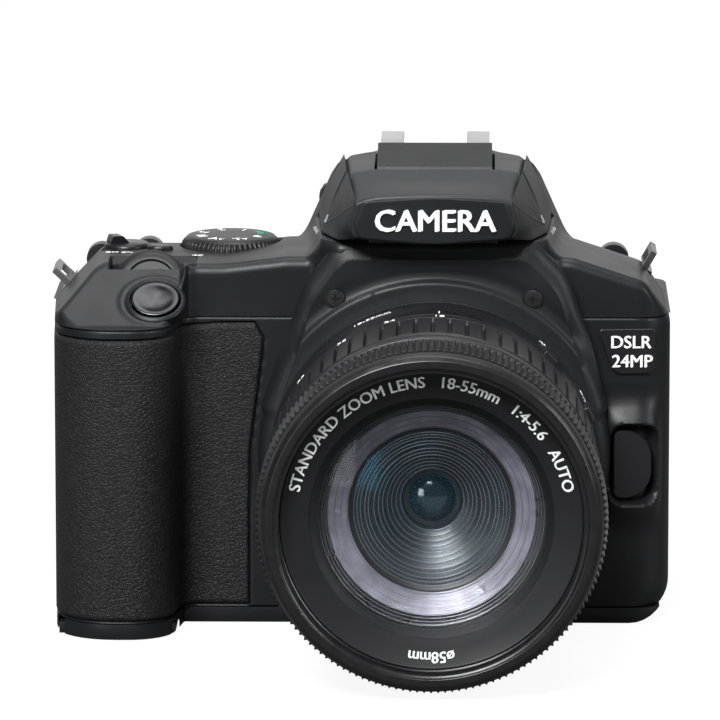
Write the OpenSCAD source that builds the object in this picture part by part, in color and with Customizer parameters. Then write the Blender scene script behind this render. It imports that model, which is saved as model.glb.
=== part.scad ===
// Compact reflex camera with a standard zoom lens.
// The origin is the mouth of the tripod socket. X runs along the body away from the hand grip,
// Y runs from the lens towards the eyepiece, and Z is up.

/* [View] */
// Sub-part to draw

/* [Body] */
// Left end of the body, at the hand grip
grip_end_x = -75.9; // [-80:0.1:-70]
// Right end of the body
far_end_x = 46.5; // [42:0.1:52]
// Flat front of the body
front_y = -20; // [-24:0.5:-16]
// Front of the hand grip
grip_y = -37; // [-42:0.5:-30]
// Back of the body
rear_y = 27; // [24:0.5:32]
// Height of the top plate over the grip
deck_z = 71.6; // [68:0.1:76]
// Height of the viewfinder housing
prism_z = 90; // [86:0.1:94]
// Thickness of the moulded covers
wall = 2; // [1.6:0.1:3]
// Height of the bottom cover
base_h = 3; // [2.5:0.1:5]
// Height of the seam under the top cover
seam_z = 61.3; // [58:0.1:64]
// Seam between the front and rear covers
seam_y = 14; // [8:0.5:18]
// Gap around parts that move
play = 0.3; // [0.2:0.05:0.5]

/* [Lens] */
// Height of the lens axis above the base
axis_z = 34; // [32:0.5:38]
// Plane where the lens meets the body
flange_y = -28; // [-30:0.5:-26]
// Length of the lens ahead of the flange
lens_length = 61.8; // [55:0.1:75]
// Radius of the front ring of the lens
lens_r = 33.25; // [31:0.05:36]
// Radius of the fixed barrel at the body
barrel_r = 32.2; // [30:0.1:34]
// Radius of the filter thread
filter_r = 29; // [26:0.5:31]
// Distance the front barrel comes out in zooming
zoom_travel = 20; // [5:1:25]
// Running clearance between the sliding barrels
barrel_fit = 0.08; // [0.02:0.01:0.1]
// Number of ribs on the zoom ring
zoom_ribs = 60; // [24:2:90]

/* [Screen] */
// Width of the swing-out screen
screen_w = 73; // [60:1:76]
// Height of the swing-out screen
screen_h = 52; // [46:1:56]
// Thickness of the swing-out screen
screen_t = 7.6; // [6:0.2:10]

/* [Controls] */
// Radius of the shutter button
shutter_r = 4.7; // [4:0.1:6]
// Radius of the mode dial
mode_r = 9.85; // [8:0.05:11]
// Radius of the knurled main dial
main_dial_r = 7.5; // [6:0.1:9]
// Radius of the small round buttons
button_r = 3.1; // [2.5:0.1:4]
// Travel of the small buttons
press = 0.8; // [0.4:0.1:1.2]

/* [Hidden] */
eps = 0.02;
arc_steps = 8;
lens_front_y = flange_y - lens_length;
panel_y = -25.5;
bulge_r = 34.3;
plate_bottom_z = 77.2;
hood_front_y = -31;
hinge_y = 8;
hinge_z = 84;
hinge_r = 6;
arm_inner_x = 11.8;
well_y = -14;
ridge_r = hinge_y - well_y - play;
side_y = 8;
grip_taper = 2.3;
front_taper = grip_taper * (side_y - front_y) / (side_y - grip_y);
sensor_y = 16;
slope_deg = 33.6;
slope_edge_z = 58.8;
button_y = rear_y + press + 0.1;
main_dial_at = [-55.7, -16.3, 66.9];
shutter_at = [-54.4, -27, 65.8];
shutter_tilt = 34;
mode_at = [-40.7, 5, 70.2];
power_at = [-61.4, 2.5, 69.7];
iso_at = [-54.6, -1.5, 69.8];
screen_axis_x = 43.6;
screen_axis_y = 26.6;
screen_low_z = 5;
screen_left_x = screen_axis_x - 6 - screen_w;
release_x = 38.6;
release_z = 32.1;
pin_at = [28.2, 29.3];
keys_at = [-54, 27];
knob_at = [-20.6, 78];
knob_r = 3;
switch_angles = [44, 68];
mirror_y = 6;
mirror_z = 47;
mirror_l = 26;
door_hinge_x = -51.5;
door_axis_z = 1.15;
door_pin_r = 1.1;
flap_x = far_end_x - 0.75;
flap_y = -9;
flap_bead_r = 0.7;
pin_r = 1.3;
keys_axis_y = rear_y - 2.4;
zoom_rear_y = -45.3;
zoom_front_y = -70;
sleeve_r = 29.4;
inner_r = 27.6;
$fn = 72;

// ---- outlines with rounded corners ----

function unit(v) = v / norm(v);
function inward(a, b) = unit([a.y - b.y, b.x - a.x]);
function flat(p) = [p.x, p.y];

// One corner [x, y, radius] of a counter-clockwise outline, moved in by t and rounded
function corner(before, here, after, t) =
    let (n1 = inward(before, here),
         n2 = inward(here, after),
         bend = n1.x * n2.y - n1.y * n2.x,
         side = bend >= 0 ? 1 : -1,
         mid = (n1 + n2) / (1 + n1 * n2),
         r = max(here[2] - side * t, 0.05),
         at = flat(here) + mid * t,
         centre = at + mid * r * side,
         a1 = atan2(n1.y, n1.x),
         turn = side * acos(min(1, max(-1, n1 * n2))))
    [for (k = [0 : arc_steps])
        let (a = a1 + turn * k / arc_steps)
        centre - side * r * [cos(a), sin(a)]];

function rounded(points, t = 0) =
    let (n = len(points))
    [for (i = [0 : n - 1])
        each corner(flat(points[(i + n - 1) % n]), points[i], flat(points[(i + 1) % n]), t)];

function box_outline(w, h, r) =
    [[-w / 2, -h / 2, r], [w / 2, -h / 2, r], [w / 2, h / 2, r], [-w / 2, h / 2, r]];

// ---- placing helpers ----

module slab(z0, z1) {
    translate([0, 0, z0])
        linear_extrude(z1 - z0)
            children();
}

// An outline drawn in X and Z, from y0 to y1
module along_y(y0, y1) {
    translate([0, y1, 0])
        rotate([90, 0, 0])
            linear_extrude(y1 - y0)
                children();
}

// An outline drawn in Y and Z, from x0 to x1
module along_x(x0, x1) {
    translate([x0, 0, 0])
        rotate([90, 0, 90])
            linear_extrude(x1 - x0)
                children();
}

module block(low, high) {
    translate(low)
        cube(high - low);
}

// A round bar along the lens axis
module lens_rod(r, y0, y1) {
    translate([0, y1, axis_z])
        rotate([90, 0, 0])
            cylinder(r = r, h = y1 - y0);
}

module lens_ring(outer, inner, y0, y1) {
    difference() {
        lens_rod(outer, y0, y1);
        lens_rod(inner, y0 - 1, y1 + 1);
    }
}

// A profile of [distance ahead of the flange, radius] turned about the lens axis
module lens_turn() {
    translate([0, flange_y, axis_z])
        rotate([90, 0, 0])
            rotate_extrude()
                children();
}

module rod_x(r, x0, x1, y, z) {
    translate([x0, y, z])
        rotate([0, 90, 0])
            cylinder(r = r, h = x1 - x0);
}

module rod_y(r, y0, y1, x, z) {
    translate([x, y1, z])
        rotate([90, 0, 0])
            cylinder(r = r, h = y1 - y0);
}

module both_sides() {
    children();
    mirror([1, 0, 0])
        children();
}

// ---- the outer form of the body, moved in by t ----

module front_outline(t) {
    polygon(rounded([[grip_end_x, 0, 4], [far_end_x, 0, 8], [far_end_x, 61, 7],
        [41.5, 68.2, 4], [27, 73, 6], [-29, 73, 4], [-41, deck_z, 20],
        [-65.8, deck_z, 5], [grip_end_x, 61.1, 5]], t));
}

module block_form(t) {
    intersection() {
        slab(t, 90)
            polygon(rounded([[grip_end_x + front_taper, front_y, 3], [far_end_x, front_y, 7],
                [far_end_x, rear_y, 6], [grip_end_x, rear_y, 7], [grip_end_x, side_y, 9]], t));
        along_y(-60, 60)
            front_outline(t);
    }
}

module grip_form(t) {
    intersection() {
        slab(t, 90)
            polygon(rounded([[grip_end_x + grip_taper, grip_y, 12], [-52, grip_y, 9],
                [-49.3, front_y, 3], [-49.3, side_y, 2], [grip_end_x, side_y, 1]], t));
        along_y(-60, 60)
            front_outline(t);
    }
}

// The sloping shoulder that carries the shutter button
module shoulder_cut(t) {
    translate([-90, grip_y, slope_edge_z])
        rotate([slope_deg, 0, 0])
            translate([0, -20, -t])
                cube([40.7, 80, 30]);
}

module prism_outline(t) {
    polygon(rounded([[-33, 66, 1], [33, 66, 1], [29, 72.4, 4], [24.6, 77.7, 3],
        [18.7, prism_z, 1.5], [-18.7, prism_z, 1.5], [-24.6, 77.7, 3], [-29, 72.4, 4]], t));
}

module prism_side(t) {
    polygon(rounded([[-24, 60, 1], [rear_y, 60, 1], [rear_y, 86, 2], [19, prism_z, 4],
        [-14, prism_z, 6], [hood_front_y, 86, 1.5], [hood_front_y, plate_bottom_z - 0.4, 1],
        [-24, plate_bottom_z - 2, 1]], t));
}

// The flank that narrows the viewfinder housing towards its front
module flank_cut(t) {
    translate([18, -8, prism_z])
        rotate([0, -36, -22])
            translate([-t, -60, -60])
                cube([40, 120, 120]);
}

module prism_form(t) {
    difference() {
        intersection() {
            along_y(-60, 60)
                prism_outline(t);
            along_x(-60, 60)
                prism_side(t);
        }
        both_sides()
            flank_cut(t);
    }
}

module body_form(t) {
    difference() {
        union() {
            block_form(t);
            grip_form(t);
        }
        shoulder_cut(t);
    }
    prism_form(t);
}

module body_shell() {
    difference() {
        body_form(0);
        body_form(wall);
    }
}

// ---- spaces cut out of the covers ----

// The well of the flash head: its arms sit on both sides of the accessory shoe
module flash_well(gap) {
    block([-40, -60, plate_bottom_z - gap], [40, well_y + gap, 120]);
    both_sides() {
        block([arm_inner_x - gap, -20, plate_bottom_z - gap], [40, hinge_y, 120]);
        rod_x(hinge_r + gap, arm_inner_x - gap, 40, hinge_y, hinge_z);
    }
}

module mount_opening() {
    lens_rod(30.5, -60, front_y + 6);
}

module screen_recess() {
    block([screen_left_x - play, rear_y - screen_t + 2.6, screen_low_z - play],
        [60, 60, screen_low_z + screen_h + play]);
}

module button_hole(x, z) {
    rod_y(button_r + play, rear_y - 6, rear_y + 6, x, z);
}

module dial_slot() {
    translate(main_dial_at)
        rotate([55, 0, 0])
            translate([0, 0, -2.1])
                cylinder(r = main_dial_r + 0.5, h = 4.2);
}

module shutter_hole() {
    translate(shutter_at)
        rotate([shutter_tilt, 0, 0])
            translate([0, 0, -5])
                cylinder(r = shutter_r + play, h = 12);
}

// The lens release is a capital D: flat on the left and round on the right
module release_pocket(gap) {
    along_y(front_y - 6, front_y + 3.4)
        translate([release_x + 0.5, release_z])
            polygon(rounded([[-3.8, -7, 0.8], [0, -7, 3.8], [3.8, -3.5, 3.6], [3.8, 3.5, 3.6],
                [0, 7, 3.8], [-3.8, 7, 0.8]], -gap));
}

// The pocket is longer at the hinge, so the back of the flap clears its edge as it opens
module terminal_pocket(gap) {
    block([far_end_x - 1.4 - gap, flap_y - 0.85 - gap, 18 - gap],
        [far_end_x + 5, 9 + gap, 50 + gap]);
}

module door_pocket(gap) {
    block([-73.4 - gap, -31 - gap, -1], [door_hinge_x, 2.4 + gap, base_h + 1]);
    block([door_hinge_x - 1, -31 - gap, -1],
        [door_hinge_x + door_pin_r + gap, 2.4 + gap, door_axis_z]);
    rod_y(door_pin_r + gap, -31 - gap, 2.4 + gap, door_hinge_x, door_axis_z);
}

// ---- fixed body ----

module front_cover() {
    color("#232426")
        difference() {
            union() {
                intersection() {
                    body_shell();
                    block([-90, -60, base_h], [60, seam_y, seam_z]);
                }
                // floor behind the terminal door
                intersection() {
                    body_form(0);
                    block([far_end_x - 4, -11, 16], [far_end_x, 11, 52]);
                }
                // pad behind the lens release button
                intersection() {
                    body_form(0);
                    block([32.5, front_y, 22], [44.5, front_y + 5, 42]);
                }
            }
            mount_opening();
            terminal_pocket(play);
            release_pocket(play);
            grip_skin(0);
            badge_form(0);
            dial_slot();
            shutter_hole();
        }
}

module rear_cover() {
    color("#232426")
        difference() {
            union() {
                intersection() {
                    body_shell();
                    block([-90, seam_y, base_h], [60, 60, seam_z]);
                }
                // back wall behind the screen
                intersection() {
                    body_form(0);
                    block([-36, rear_y - 8, base_h], [60, rear_y, seam_z - 0.5]);
                }
            }
            screen_recess();
            screen_hinge_room();
            thumb_form();
            button_hole(-46, 9);
            button_hole(-62, 9);
            rod_y(11 + play, 20, 40, keys_at.x, keys_at.y);
        }
}

// Room for the screen arm to turn in
module screen_hinge_room() {
    translate([screen_axis_x, screen_axis_y, screen_low_z - play])
        cylinder(r = 6.2, h = screen_h + 2 * play);
}

module top_cover() {
    color("#232426")
        difference() {
            union() {
                intersection() {
                    body_shell();
                    block([-90, -60, seam_z], [60, 60, 120]);
                }
                // floor of the flash well
                intersection() {
                    prism_form(0);
                    block([-40, -24, plate_bottom_z - 2.2], [40, 15, plate_bottom_z - play]);
                }
                // walls that close the well behind the arms
                intersection() {
                    prism_form(0);
                    both_sides()
                        rod_x(hinge_r + 1.8, arm_inner_x - 1.5, 40, hinge_y, hinge_z);
                }
                // ridge between the arms that carries the accessory shoe
                intersection() {
                    block([-11.3, well_y + play, plate_bottom_z - 2], [11.3, 20, 88]);
                    prism_form(0);
                }
                // ramp ahead of the accessory shoe
                along_x(-11.3, 11.3)
                    polygon([[-13.7, 86], [-0.4, 86], [-0.4, 92.3], [-13.7, prism_z]]);
                dial_seat();
            }
            mount_opening();
            flash_well(play);
            // front of the ridge, rounded about the hinge so that the nose swings clear of it
            difference() {
                block([-12, well_y - 1, hinge_z], [12, well_y + 4, 120]);
                rod_x(ridge_r, -13, 13, hinge_y, hinge_z);
            }
            // room for the tops of the arms as they swing back
            both_sides()
                block([arm_inner_x - play, hinge_y, hinge_z],
                    [40, hinge_y + hinge_r + play, 120]);
            intersection() {
                block([-9.8, -9, 70], [9.8, 18, 86]);
                translate([0, 0, -2.2])
                    prism_form(wall);
            }
            block([-11, -0.4, 88.1], [11, 18.6, 100]);
            translate([mode_at.x, mode_at.y, mode_at.z - 0.3])
                cylinder(r = mode_r + play, h = 20);
            translate([mode_at.x, mode_at.y, 60])
                cylinder(r = 2.05, h = 20);
            translate([power_at.x, power_at.y, 60])
                cylinder(r = 2.05, h = 20);
            translate([power_at.x, power_at.y, power_at.z])
                cylinder(r = 4.5 + play, h = 20);
            iso_form(play, 6);
            dial_slot();
            shutter_hole();
            translate([-62, -9, 60])
                cube([16, 4.1, 9]);
            button_hole(36, 65.5);
            button_hole(26, 65.5);
            button_hole(-25, 66.5);
            button_hole(-58, 66.5);
            button_hole(-67.6, 65.4);
            eyepiece_tunnel(0);
            rod_y(knob_r + play, rear_y - 5, rear_y + 5, knob_at.x, knob_at.y);
            grip_skin(0);
        }
}

// Thicker plate under the dials, so their seats have a floor
module dial_seat() {
    intersection() {
        body_form(0);
        union() {
            block([-53, -8, 66.4], [-28, 18, deck_z]);
            block([-68, -5, 66.4], [-52, 13, deck_z]);
        }
    }
}

module eyepiece_tunnel(gap) {
    along_y(12, 60)
        translate([0, 75])
            polygon(rounded(box_outline(20, 14, 3), -gap));
}

module bottom_cover() {
    color("#202123")
        difference() {
            intersection() {
                body_form(0);
                block([-90, -60, 0], [60, 60, base_h]);
            }
            door_pocket(play);
            translate([0, 0, -1])
                cylinder(r = 6.5, h = 10);
            grip_skin(0);
            screen_hinge_room();
        }
}

// The rubber skin wraps the hand grip between the bottom cover and the shoulder
module grip_skin(t) {
    difference() {
        intersection() {
            body_form(0);
            block([-90, -60, 3.5], [-36.1 + t, 4, 59.6]);
        }
        intersection() {
            body_form(1);
            block([-90, -60, -10], [60, 60, 100]);
        }
        block([-49.3, -18.95, -10], [60, 60, 100]);
    }
}

module grip_rubber() {
    color("#1b1c1d")
        grip_skin(0);
}

module thumb_form() {
    along_y(rear_y - 0.8, rear_y + 0.9)
        polygon(rounded([[-74, 39.2, 3], [-50, 39.2, 4], [-47.5, 45, 4], [-51, 59.5, 4],
            [-74, 59.5, 4]]));
}

module thumb_rubber() {
    color("#1b1c1d")
        intersection() {
            thumb_form();
            slab(30, 70)
                polygon(rounded([[grip_end_x, front_y, 3], [far_end_x, front_y, 7],
                    [far_end_x, rear_y + 0.9, 6], [grip_end_x, rear_y + 0.9, 7]]));
        }
}

module mount_panel() {
    color("#2b2c2e")
        difference() {
            union() {
                along_y(panel_y, front_y)
                    polygon(rounded([[-33.7, 44, 2], [33.9, 44, 2], [30.6, 56.8, 4],
                        [26.2, 72, 4], [24, plate_bottom_z - 2.4, 1],
                        [-21, plate_bottom_z - 2.4, 1], [-25.3, 65, 4], [-29.3, 56.7, 4]]));
                intersection() {
                    lens_rod(bulge_r, panel_y, front_y);
                    block([-60, -60, 0], [60, 60, 60]);
                }
            }
            lens_rod(30.5, -60, 0);
            block([-23, -24.4, 59.5], [23, 0, 100]);
            prism_form(0);
            panel_screw_holes();
        }
}

module panel_screw_holes() {
    for (x = [-19.3, 19.3])
        rod_y(1.85, panel_y - 1, panel_y + 0.7, x, 65.8);
}

module panel_screws() {
    color("#151516")
        for (x = [-19.3, 19.3])
            difference() {
                rod_y(1.75, panel_y - 0.1, panel_y + 0.7, x, 65.8);
                for (a = [0, 90])
                    translate([x, panel_y - 0.2, 65.8])
                        rotate([90, a, 0])
                            cube([2.2, 0.45, 0.9], center = true);
            }
}

module badge_form(t) {
    along_y(front_y - 0.35, front_y + 0.6)
        polygon(rounded([[35, 49.9, 3], [43.2, 49.9, 1], [43.2, 59.1, 1], [32, 59.1, 1]], t));
}

module side_badge() {
    color("#1d1e20")
        badge_form(0.1);
}

module eyecup() {
    color("#18191a")
        difference() {
            union() {
                along_y(rear_y, rear_y + 5.8)
                    translate([0, 75.3])
                        polygon(rounded(box_outline(34.4, 23, 7)));
                along_y(rear_y - 3, rear_y)
                    translate([0, 75])
                        polygon(rounded(box_outline(19.8, 13.8, 3)));
            }
            along_y(rear_y - 6, rear_y + 1.5)
                translate([0, 75])
                    polygon(rounded(box_outline(16.4, 10.8, 2)));
            along_y(rear_y + 1.5 - eps, rear_y + 9)
                translate([0, 75.3])
                    polygon(rounded(box_outline(28, 16, 5)));
        }
}

module strap_lug(x, z, lean) {
    translate([x, 6, z])
        rotate([0, lean, 0])
            difference() {
                union() {
                    translate([0, -6, 0])
                        cube([1.2, 12, 5]);
                    translate([-1.5, -4, 0])
                        cube([4, 8, 1]);
                }
                translate([-1, -4.6, 1.9])
                    cube([4, 9.2, 1.9]);
            }
}

module strap_lugs() {
    color("#9a9a9a")
        difference() {
            union() {
                strap_lug(-72.6, 63.2, -46);
                strap_lug(40.6, 67, 30);
            }
            body_form(-eps);
        }
}

module hot_shoe() {
    color("#b9b9b9")
        difference() {
            block([-10.8, 0, 88.1], [10.8, 18, 92.6]);
            block([-9.4, -1, 89.2], [9.4, 30, 91.4]);
            block([-6.3, -1, 89.2], [6.3, 30, 93]);
            translate([0, 9, 89.2])
                cube([4, 4, 0.6], center = true);
        }
}

module tripod_socket() {
    color("#8f9092")
        difference() {
            union() {
                cylinder(r = 6.4, h = base_h);
                translate([0, 0, base_h])
                    cylinder(r = 9, h = 5);
            }
            translate([0, 0, -1])
                cylinder(r = 3.175, h = 7.5);
        }
}

module body_mount_ring() {
    color("#c0c2c4")
        difference() {
            union() {
                lens_rod(30.3, panel_y - 0.6, front_y + 3);
                lens_ring(31.6, 29, flange_y + 0.02, panel_y - 0.6);
            }
            lens_rod(27, -60, 20);
            lens_rod(29, -60, panel_y - 0.6 + eps);
            rod_y(pin_r + 0.1, flange_y - 1, front_y + 5, pin_at.x, pin_at.y);
        }
}

module mirror_box() {
    color("#161617")
        difference() {
            block([-19, front_y + 3, 15.5], [19, 9.4, 53]);
            block([-16.5, front_y, 18], [16.5, 12, 51.5]);
            block([-14, -17, 50], [14, 5, 60]);
            rod_x(1.05, -30, 30, mirror_y, mirror_z);
        }
}

module focusing_screen() {
    color("#dfe3e4")
        block([-14.6, -16.6, 53], [14.6, 4.6, 54.2]);
}

module pentamirror() {
    color("#30343a")
        along_x(-15.5, 15.5)
            polygon([[-15, 54.3], [6, 54.3], [11.5, 66], [11.5, 72.5], [2, 74.6],
                [-11, 72], [-16, 62]]);
}

module eyepiece_lens() {
    color("#bcd0da")
        intersection() {
            along_y(19, 23)
                translate([0, 75])
                    polygon(rounded(box_outline(18, 12, 2)));
            union() {
                translate([0, 42, 75])
                    sphere(r = 23);
                translate([0, 40, 75])
                    sphere(r = 18.6);
            }
        }
}

module shutter_frame() {
    color("#252628")
        difference() {
            block([-20, 9.6, 6], [20, 15.2, 53]);
            block([-12, 0, 26], [12, 30, 42]);
            block([-14.3, 11.6, 9], [14.3, 13.2, 43.2]);
        }
}

module image_sensor() {
    color("#2f4a4a")
        block([-14.5, sensor_y, 23.5], [14.5, sensor_y + 1.6, 44.5]);
}

module main_board() {
    color("#1f5a35")
        union() {
            block([-44, 17.8, 6], [31, 18.9, 55]);
            block([14, 15.6, 8], [30, 17.8, 20]);
            block([-38, 15.6, 30], [-24, 17.8, 44]);
            block([22, 9, 24], [31, 17.8, 50]);
        }
}

module battery() {
    color("#3a3a3d")
        slab(base_h + 0.3, 52.7)
            translate([-62, -14.3])
                polygon(rounded(box_outline(14, 33, 2)));
}

// ---- controls on the top ----

module shutter_button() {
    color("#7d7e80")
        translate(shutter_at)
            rotate([shutter_tilt, 0, 0]) {
                translate([0, 0, -1.8])
                    cylinder(r = shutter_r, h = 2.2);
                translate([0, 0, -4.4])
                    cylinder(r = 2, h = 3);
            }
}

module main_dial() {
    color("#1c1c1e")
        translate(main_dial_at)
            rotate([55, 0, 0])
                difference() {
                    translate([0, 0, -1.75])
                        cylinder(r = main_dial_r, h = 3.5);
                    for (a = [0 : 10 : 350])
                        rotate(a)
                            translate([main_dial_r + 0.15, 0, -2])
                                cylinder(r = 0.42, h = 2.6, $fn = 14);
                }
}

module mode_dial() {
    color("#1c1c1e")
        translate(mode_at)
            union() {
                difference() {
                    cylinder(r = mode_r, h = 3.3);
                    for (a = [0 : 10 : 350])
                        rotate(a)
                            translate([mode_r + 0.2, 0, 0.8])
                                cylinder(r = 0.5, h = 4, $fn = 14);
                }
                translate([0, 0, -6])
                    cylinder(r = 2, h = 6.1);
            }
}

module power_switch() {
    color("#232426")
        translate(power_at) {
            translate([0, 0, 0.2])
                cylinder(r = 4.5, h = 2.6);
            translate([0, 0, -5.5])
                cylinder(r = 2, h = 6);
            rotate(200)
                translate([0, -1.4, 2.6])
                    intersection() {
                        cube([5, 2.8, 1.7]);
                        cylinder(r = 4.3, h = 5);
                    }
        }
}

module iso_form(gap, down) {
    translate([iso_at.x, iso_at.y, 0])
        slab(iso_at.z - down, iso_at.z + 2.6)
            polygon(rounded(box_outline(5.2, 3.4, 1.65), -gap));
}

module iso_button() {
    color("#2a2b2d")
        iso_form(0, 1.5);
}

// ---- flash head ----

module hood_form(t) {
    intersection() {
        prism_form(t);
        flash_well(-t);
    }
}

module flash_head() {
    color("#232426")
        difference() {
            union() {
                difference() {
                    hood_form(0);
                    intersection() {
                        prism_form(1.8);
                        union() {
                            block([-30, hood_front_y + 2.6, 70], [30, -15.8, 100]);
                            both_sides()
                                block([arm_inner_x + 1.8, -16, 70], [30, -1, 100]);
                        }
                    }
                }
                // reflector box behind the window
                intersection() {
                    hood_form(0);
                    difference() {
                        block([-14.5, -29, plate_bottom_z], [14.5, -16, 84]);
                        block([-12, -27.2, 70], [12, -17.8, 82.4]);
                    }
                }
            }
            window_form(0.02);
            plate_form(0.02);
            both_sides()
                rod_x(1.55, 10, 15.5, hinge_y, hinge_z);
        }
}

module window_form(gap) {
    block([-12.6 - gap, -27.8 - gap, plate_bottom_z - 1],
        [12.6 + gap, -17.2 + gap, plate_bottom_z + 1.4 + gap]);
}

module flash_window() {
    color("#e6ebec")
        block([-12.6, -27.8, plate_bottom_z + 0.1], [12.6, -17.2, plate_bottom_z + 1.4]);
}

module plate_form(gap) {
    along_y(hood_front_y - 0.4, hood_front_y + 0.9 + gap)
        polygon(rounded([[-14.2, 78.2, 1], [14.2, 78.2, 1], [15.4, 80.6, 1], [12.8, 84.6, 1],
            [-12.8, 84.6, 1], [-15.4, 80.6, 1]], -gap));
}

module name_plate() {
    color("#2a2b2d")
        plate_form(0);
}

// ---- swing-out screen ----

module screen_frame() {
    color("#232426")
        difference() {
            along_y(rear_y + 3 - screen_t, rear_y + 3)
                translate([screen_axis_x - 6 - screen_w / 2, screen_low_z + screen_h / 2])
                    polygon(rounded(box_outline(screen_w, screen_h, 3)));
            glass_form(0.05);
        }
}

module glass_form(gap) {
    along_y(rear_y + 3 - 1.2 - gap, rear_y + 4)
        translate([screen_axis_x - 7 - screen_w / 2, screen_low_z + screen_h / 2])
            polygon(rounded(box_outline(66 + 2 * gap, 46 + 2 * gap, 1.5)));
}

module screen_glass() {
    color("#0b0c0e")
        intersection() {
            glass_form(0);
            block([-60, rear_y, 0], [60, rear_y + 2.9, 80]);
        }
}

module screen_arm() {
    color("#1d1e20")
        union() {
            translate([screen_axis_x, screen_axis_y, screen_low_z])
                cylinder(r = 3.4, h = screen_h);
            block([screen_axis_x - 5.7, screen_axis_y - 3.2, screen_low_z + 8],
                [screen_axis_x, screen_axis_y + 3.2, screen_low_z + screen_h - 8]);
            rod_x(2, screen_axis_x - 6, screen_axis_x, screen_axis_y, screen_low_z + 26);
        }
}

// ---- doors ----

module terminal_door() {
    color("#1b1c1d")
        union() {
            block([far_end_x - 1.4, flap_y, 18], [far_end_x - 0.1, 9, 50]);
            // bead that the flap turns on
            translate([flap_x, flap_y, 18])
                cylinder(r = flap_bead_r, h = 32);
            block([far_end_x - 0.2, 6.5, 30], [far_end_x + 0.5, 8.5, 38]);
        }
}

module battery_door() {
    color("#202123")
        difference() {
            union() {
                block([-73.4, -31, 0.1], [door_hinge_x, 2.4, 2.2]);
                rod_y(door_pin_r, -31, 2.4, door_hinge_x, door_axis_z);
            }
            block([-73.5, -18, -1], [-66, -10, 3]);
        }
}

module door_latch() {
    color("#2c2d2f")
        union() {
            block([-73, -17.7, 0.4], [-68.6, -10.3, 1.7]);
            block([-71.4, -16, 0.1], [-70.4, -12, 0.5]);
        }
}

// ---- lens release ----

module lens_release_button() {
    color("#1f2022")
        intersection() {
            release_pocket(0);
            block([30, front_y - 1.4, 20], [50, front_y + 1.2, 50]);
        }
}

module lens_lock_pin() {
    color("#c0c2c4")
        rod_y(pin_r, flange_y - 1.2, front_y - 0.6, pin_at.x, pin_at.y);
}

// ---- mirror, shutter ----

module main_mirror() {
    color("#c9ced2")
        union() {
            translate([0, mirror_y, mirror_z])
                rotate([45, 0, 0])
                    translate([-14, -mirror_l, -0.2])
                        cube([28, mirror_l - 1.4, 1]);
            for (x = [-13.8, 11.8]) {
                rod_x(1.9, x, x + 2, mirror_y, mirror_z);
                translate([x, mirror_y, mirror_z])
                    rotate([45, 0, 0])
                        translate([0.2, -3, -0.1])
                            cube([1.6, 2.6, 0.8]);
            }
            rod_x(1, -18.4, 18.4, mirror_y, mirror_z);
        }
}

module sub_mirror() {
    color("#c9ced2")
        translate([0, mirror_y, mirror_z])
            rotate([45, 0, 0])
                translate([0, -17, -1.6])
                    rotate([90, 0, 0]) {
                        translate([-7, -10, -0.35])
                            cube([14, 9.6, 0.7]);
                        translate([-8, 0, 0])
                            rotate([0, 90, 0])
                                cylinder(r = 0.6, h = 16);
                    }
}

module shutter_curtain() {
    color("#101011")
        block([-14, 12.1, 26], [14, 12.7, 42.6]);
}

// ---- controls on the back ----

module small_button(x, z) {
    rod_y(button_r, rear_y - 3, button_y, x, z);
}

module menu_button() {
    color("#2a2b2d")
        small_button(36, 65.5);
}

module info_button() {
    color("#2a2b2d")
        small_button(26, 65.5);
}

module live_view_button() {
    color("#2a2b2d")
        small_button(-25, 66.5);
}

module ae_lock_button() {
    color("#2a2b2d")
        small_button(-58, 66.5);
}

module focus_point_button() {
    color("#2a2b2d")
        small_button(-67.6, 65.4);
}

module play_button() {
    color("#2a2b2d")
        small_button(-46, 9);
}

module erase_button() {
    color("#2a2b2d")
        small_button(-62, 9);
}

module set_button() {
    color("#2a2b2d")
        rod_y(4.4, rear_y - 3, button_y + 0.4, keys_at.x, keys_at.y);
}

module cross_keys() {
    color("#232426")
        difference() {
            union() {
                rod_y(11, keys_axis_y, button_y, keys_at.x, keys_at.y);
                // pivots on the back of the pad
                for (x = [-9.6, 5.4])
                    rod_x(0.9, keys_at.x + x, keys_at.x + x + 4.2, keys_axis_y, keys_at.y);
            }
            rod_y(4.4 + play, rear_y - 9, rear_y + 9, keys_at.x, keys_at.y);
        }
}

module diopter_knob() {
    color("#1c1c1e")
        difference() {
            rod_y(knob_r, rear_y - 2, rear_y + 1.8, knob_at.x, knob_at.y);
            for (a = [0 : 30 : 330])
                rod_y(0.45, rear_y + 0.2, rear_y + 4,
                    knob_at.x + (knob_r + 0.15) * cos(a), knob_at.y + (knob_r + 0.15) * sin(a));
        }
}

// ---- lens ----

module lens_mount_ring() {
    color("#c0c2c4")
        difference() {
            union() {
                lens_ring(31.6, 24, flange_y - 1.6, flange_y);
                lens_ring(26.2, 24, flange_y, flange_y + 4.4);
            }
            rod_y(pin_r + 0.1, flange_y - 2, flange_y + 1, pin_at.x, pin_at.y);
        }
}

module lens_barrel() {
    color("#202123")
        union() {
            difference() {
                lens_ring(barrel_r, sleeve_r - 1.6, zoom_rear_y + 0.3, flange_y - 1.6);
                switch_slot(switch_angles[0]);
                switch_slot(switch_angles[1]);
            }
            lens_ring(sleeve_r, inner_r + barrel_fit, zoom_front_y + 2, zoom_rear_y + 0.4);
            lens_ring(inner_r + 1, 24, flange_y - 3.2, flange_y - 1.6);
        }
}

// The two switches sit side by side on the upper far side of the fixed barrel
module at_switch(angle) {
    translate([0, 0, axis_z])
        rotate([0, angle, 0])
            children();
}

module switch_slot(angle) {
    at_switch(angle)
        block([-1.9, -44, barrel_r - 1.8], [1.9, -33, barrel_r + 4]);
}

module lens_switch(angle) {
    at_switch(angle)
        block([-1.6, -43.6, barrel_r - 1.6], [1.6, -37.2, barrel_r + 0.9]);
}

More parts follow.
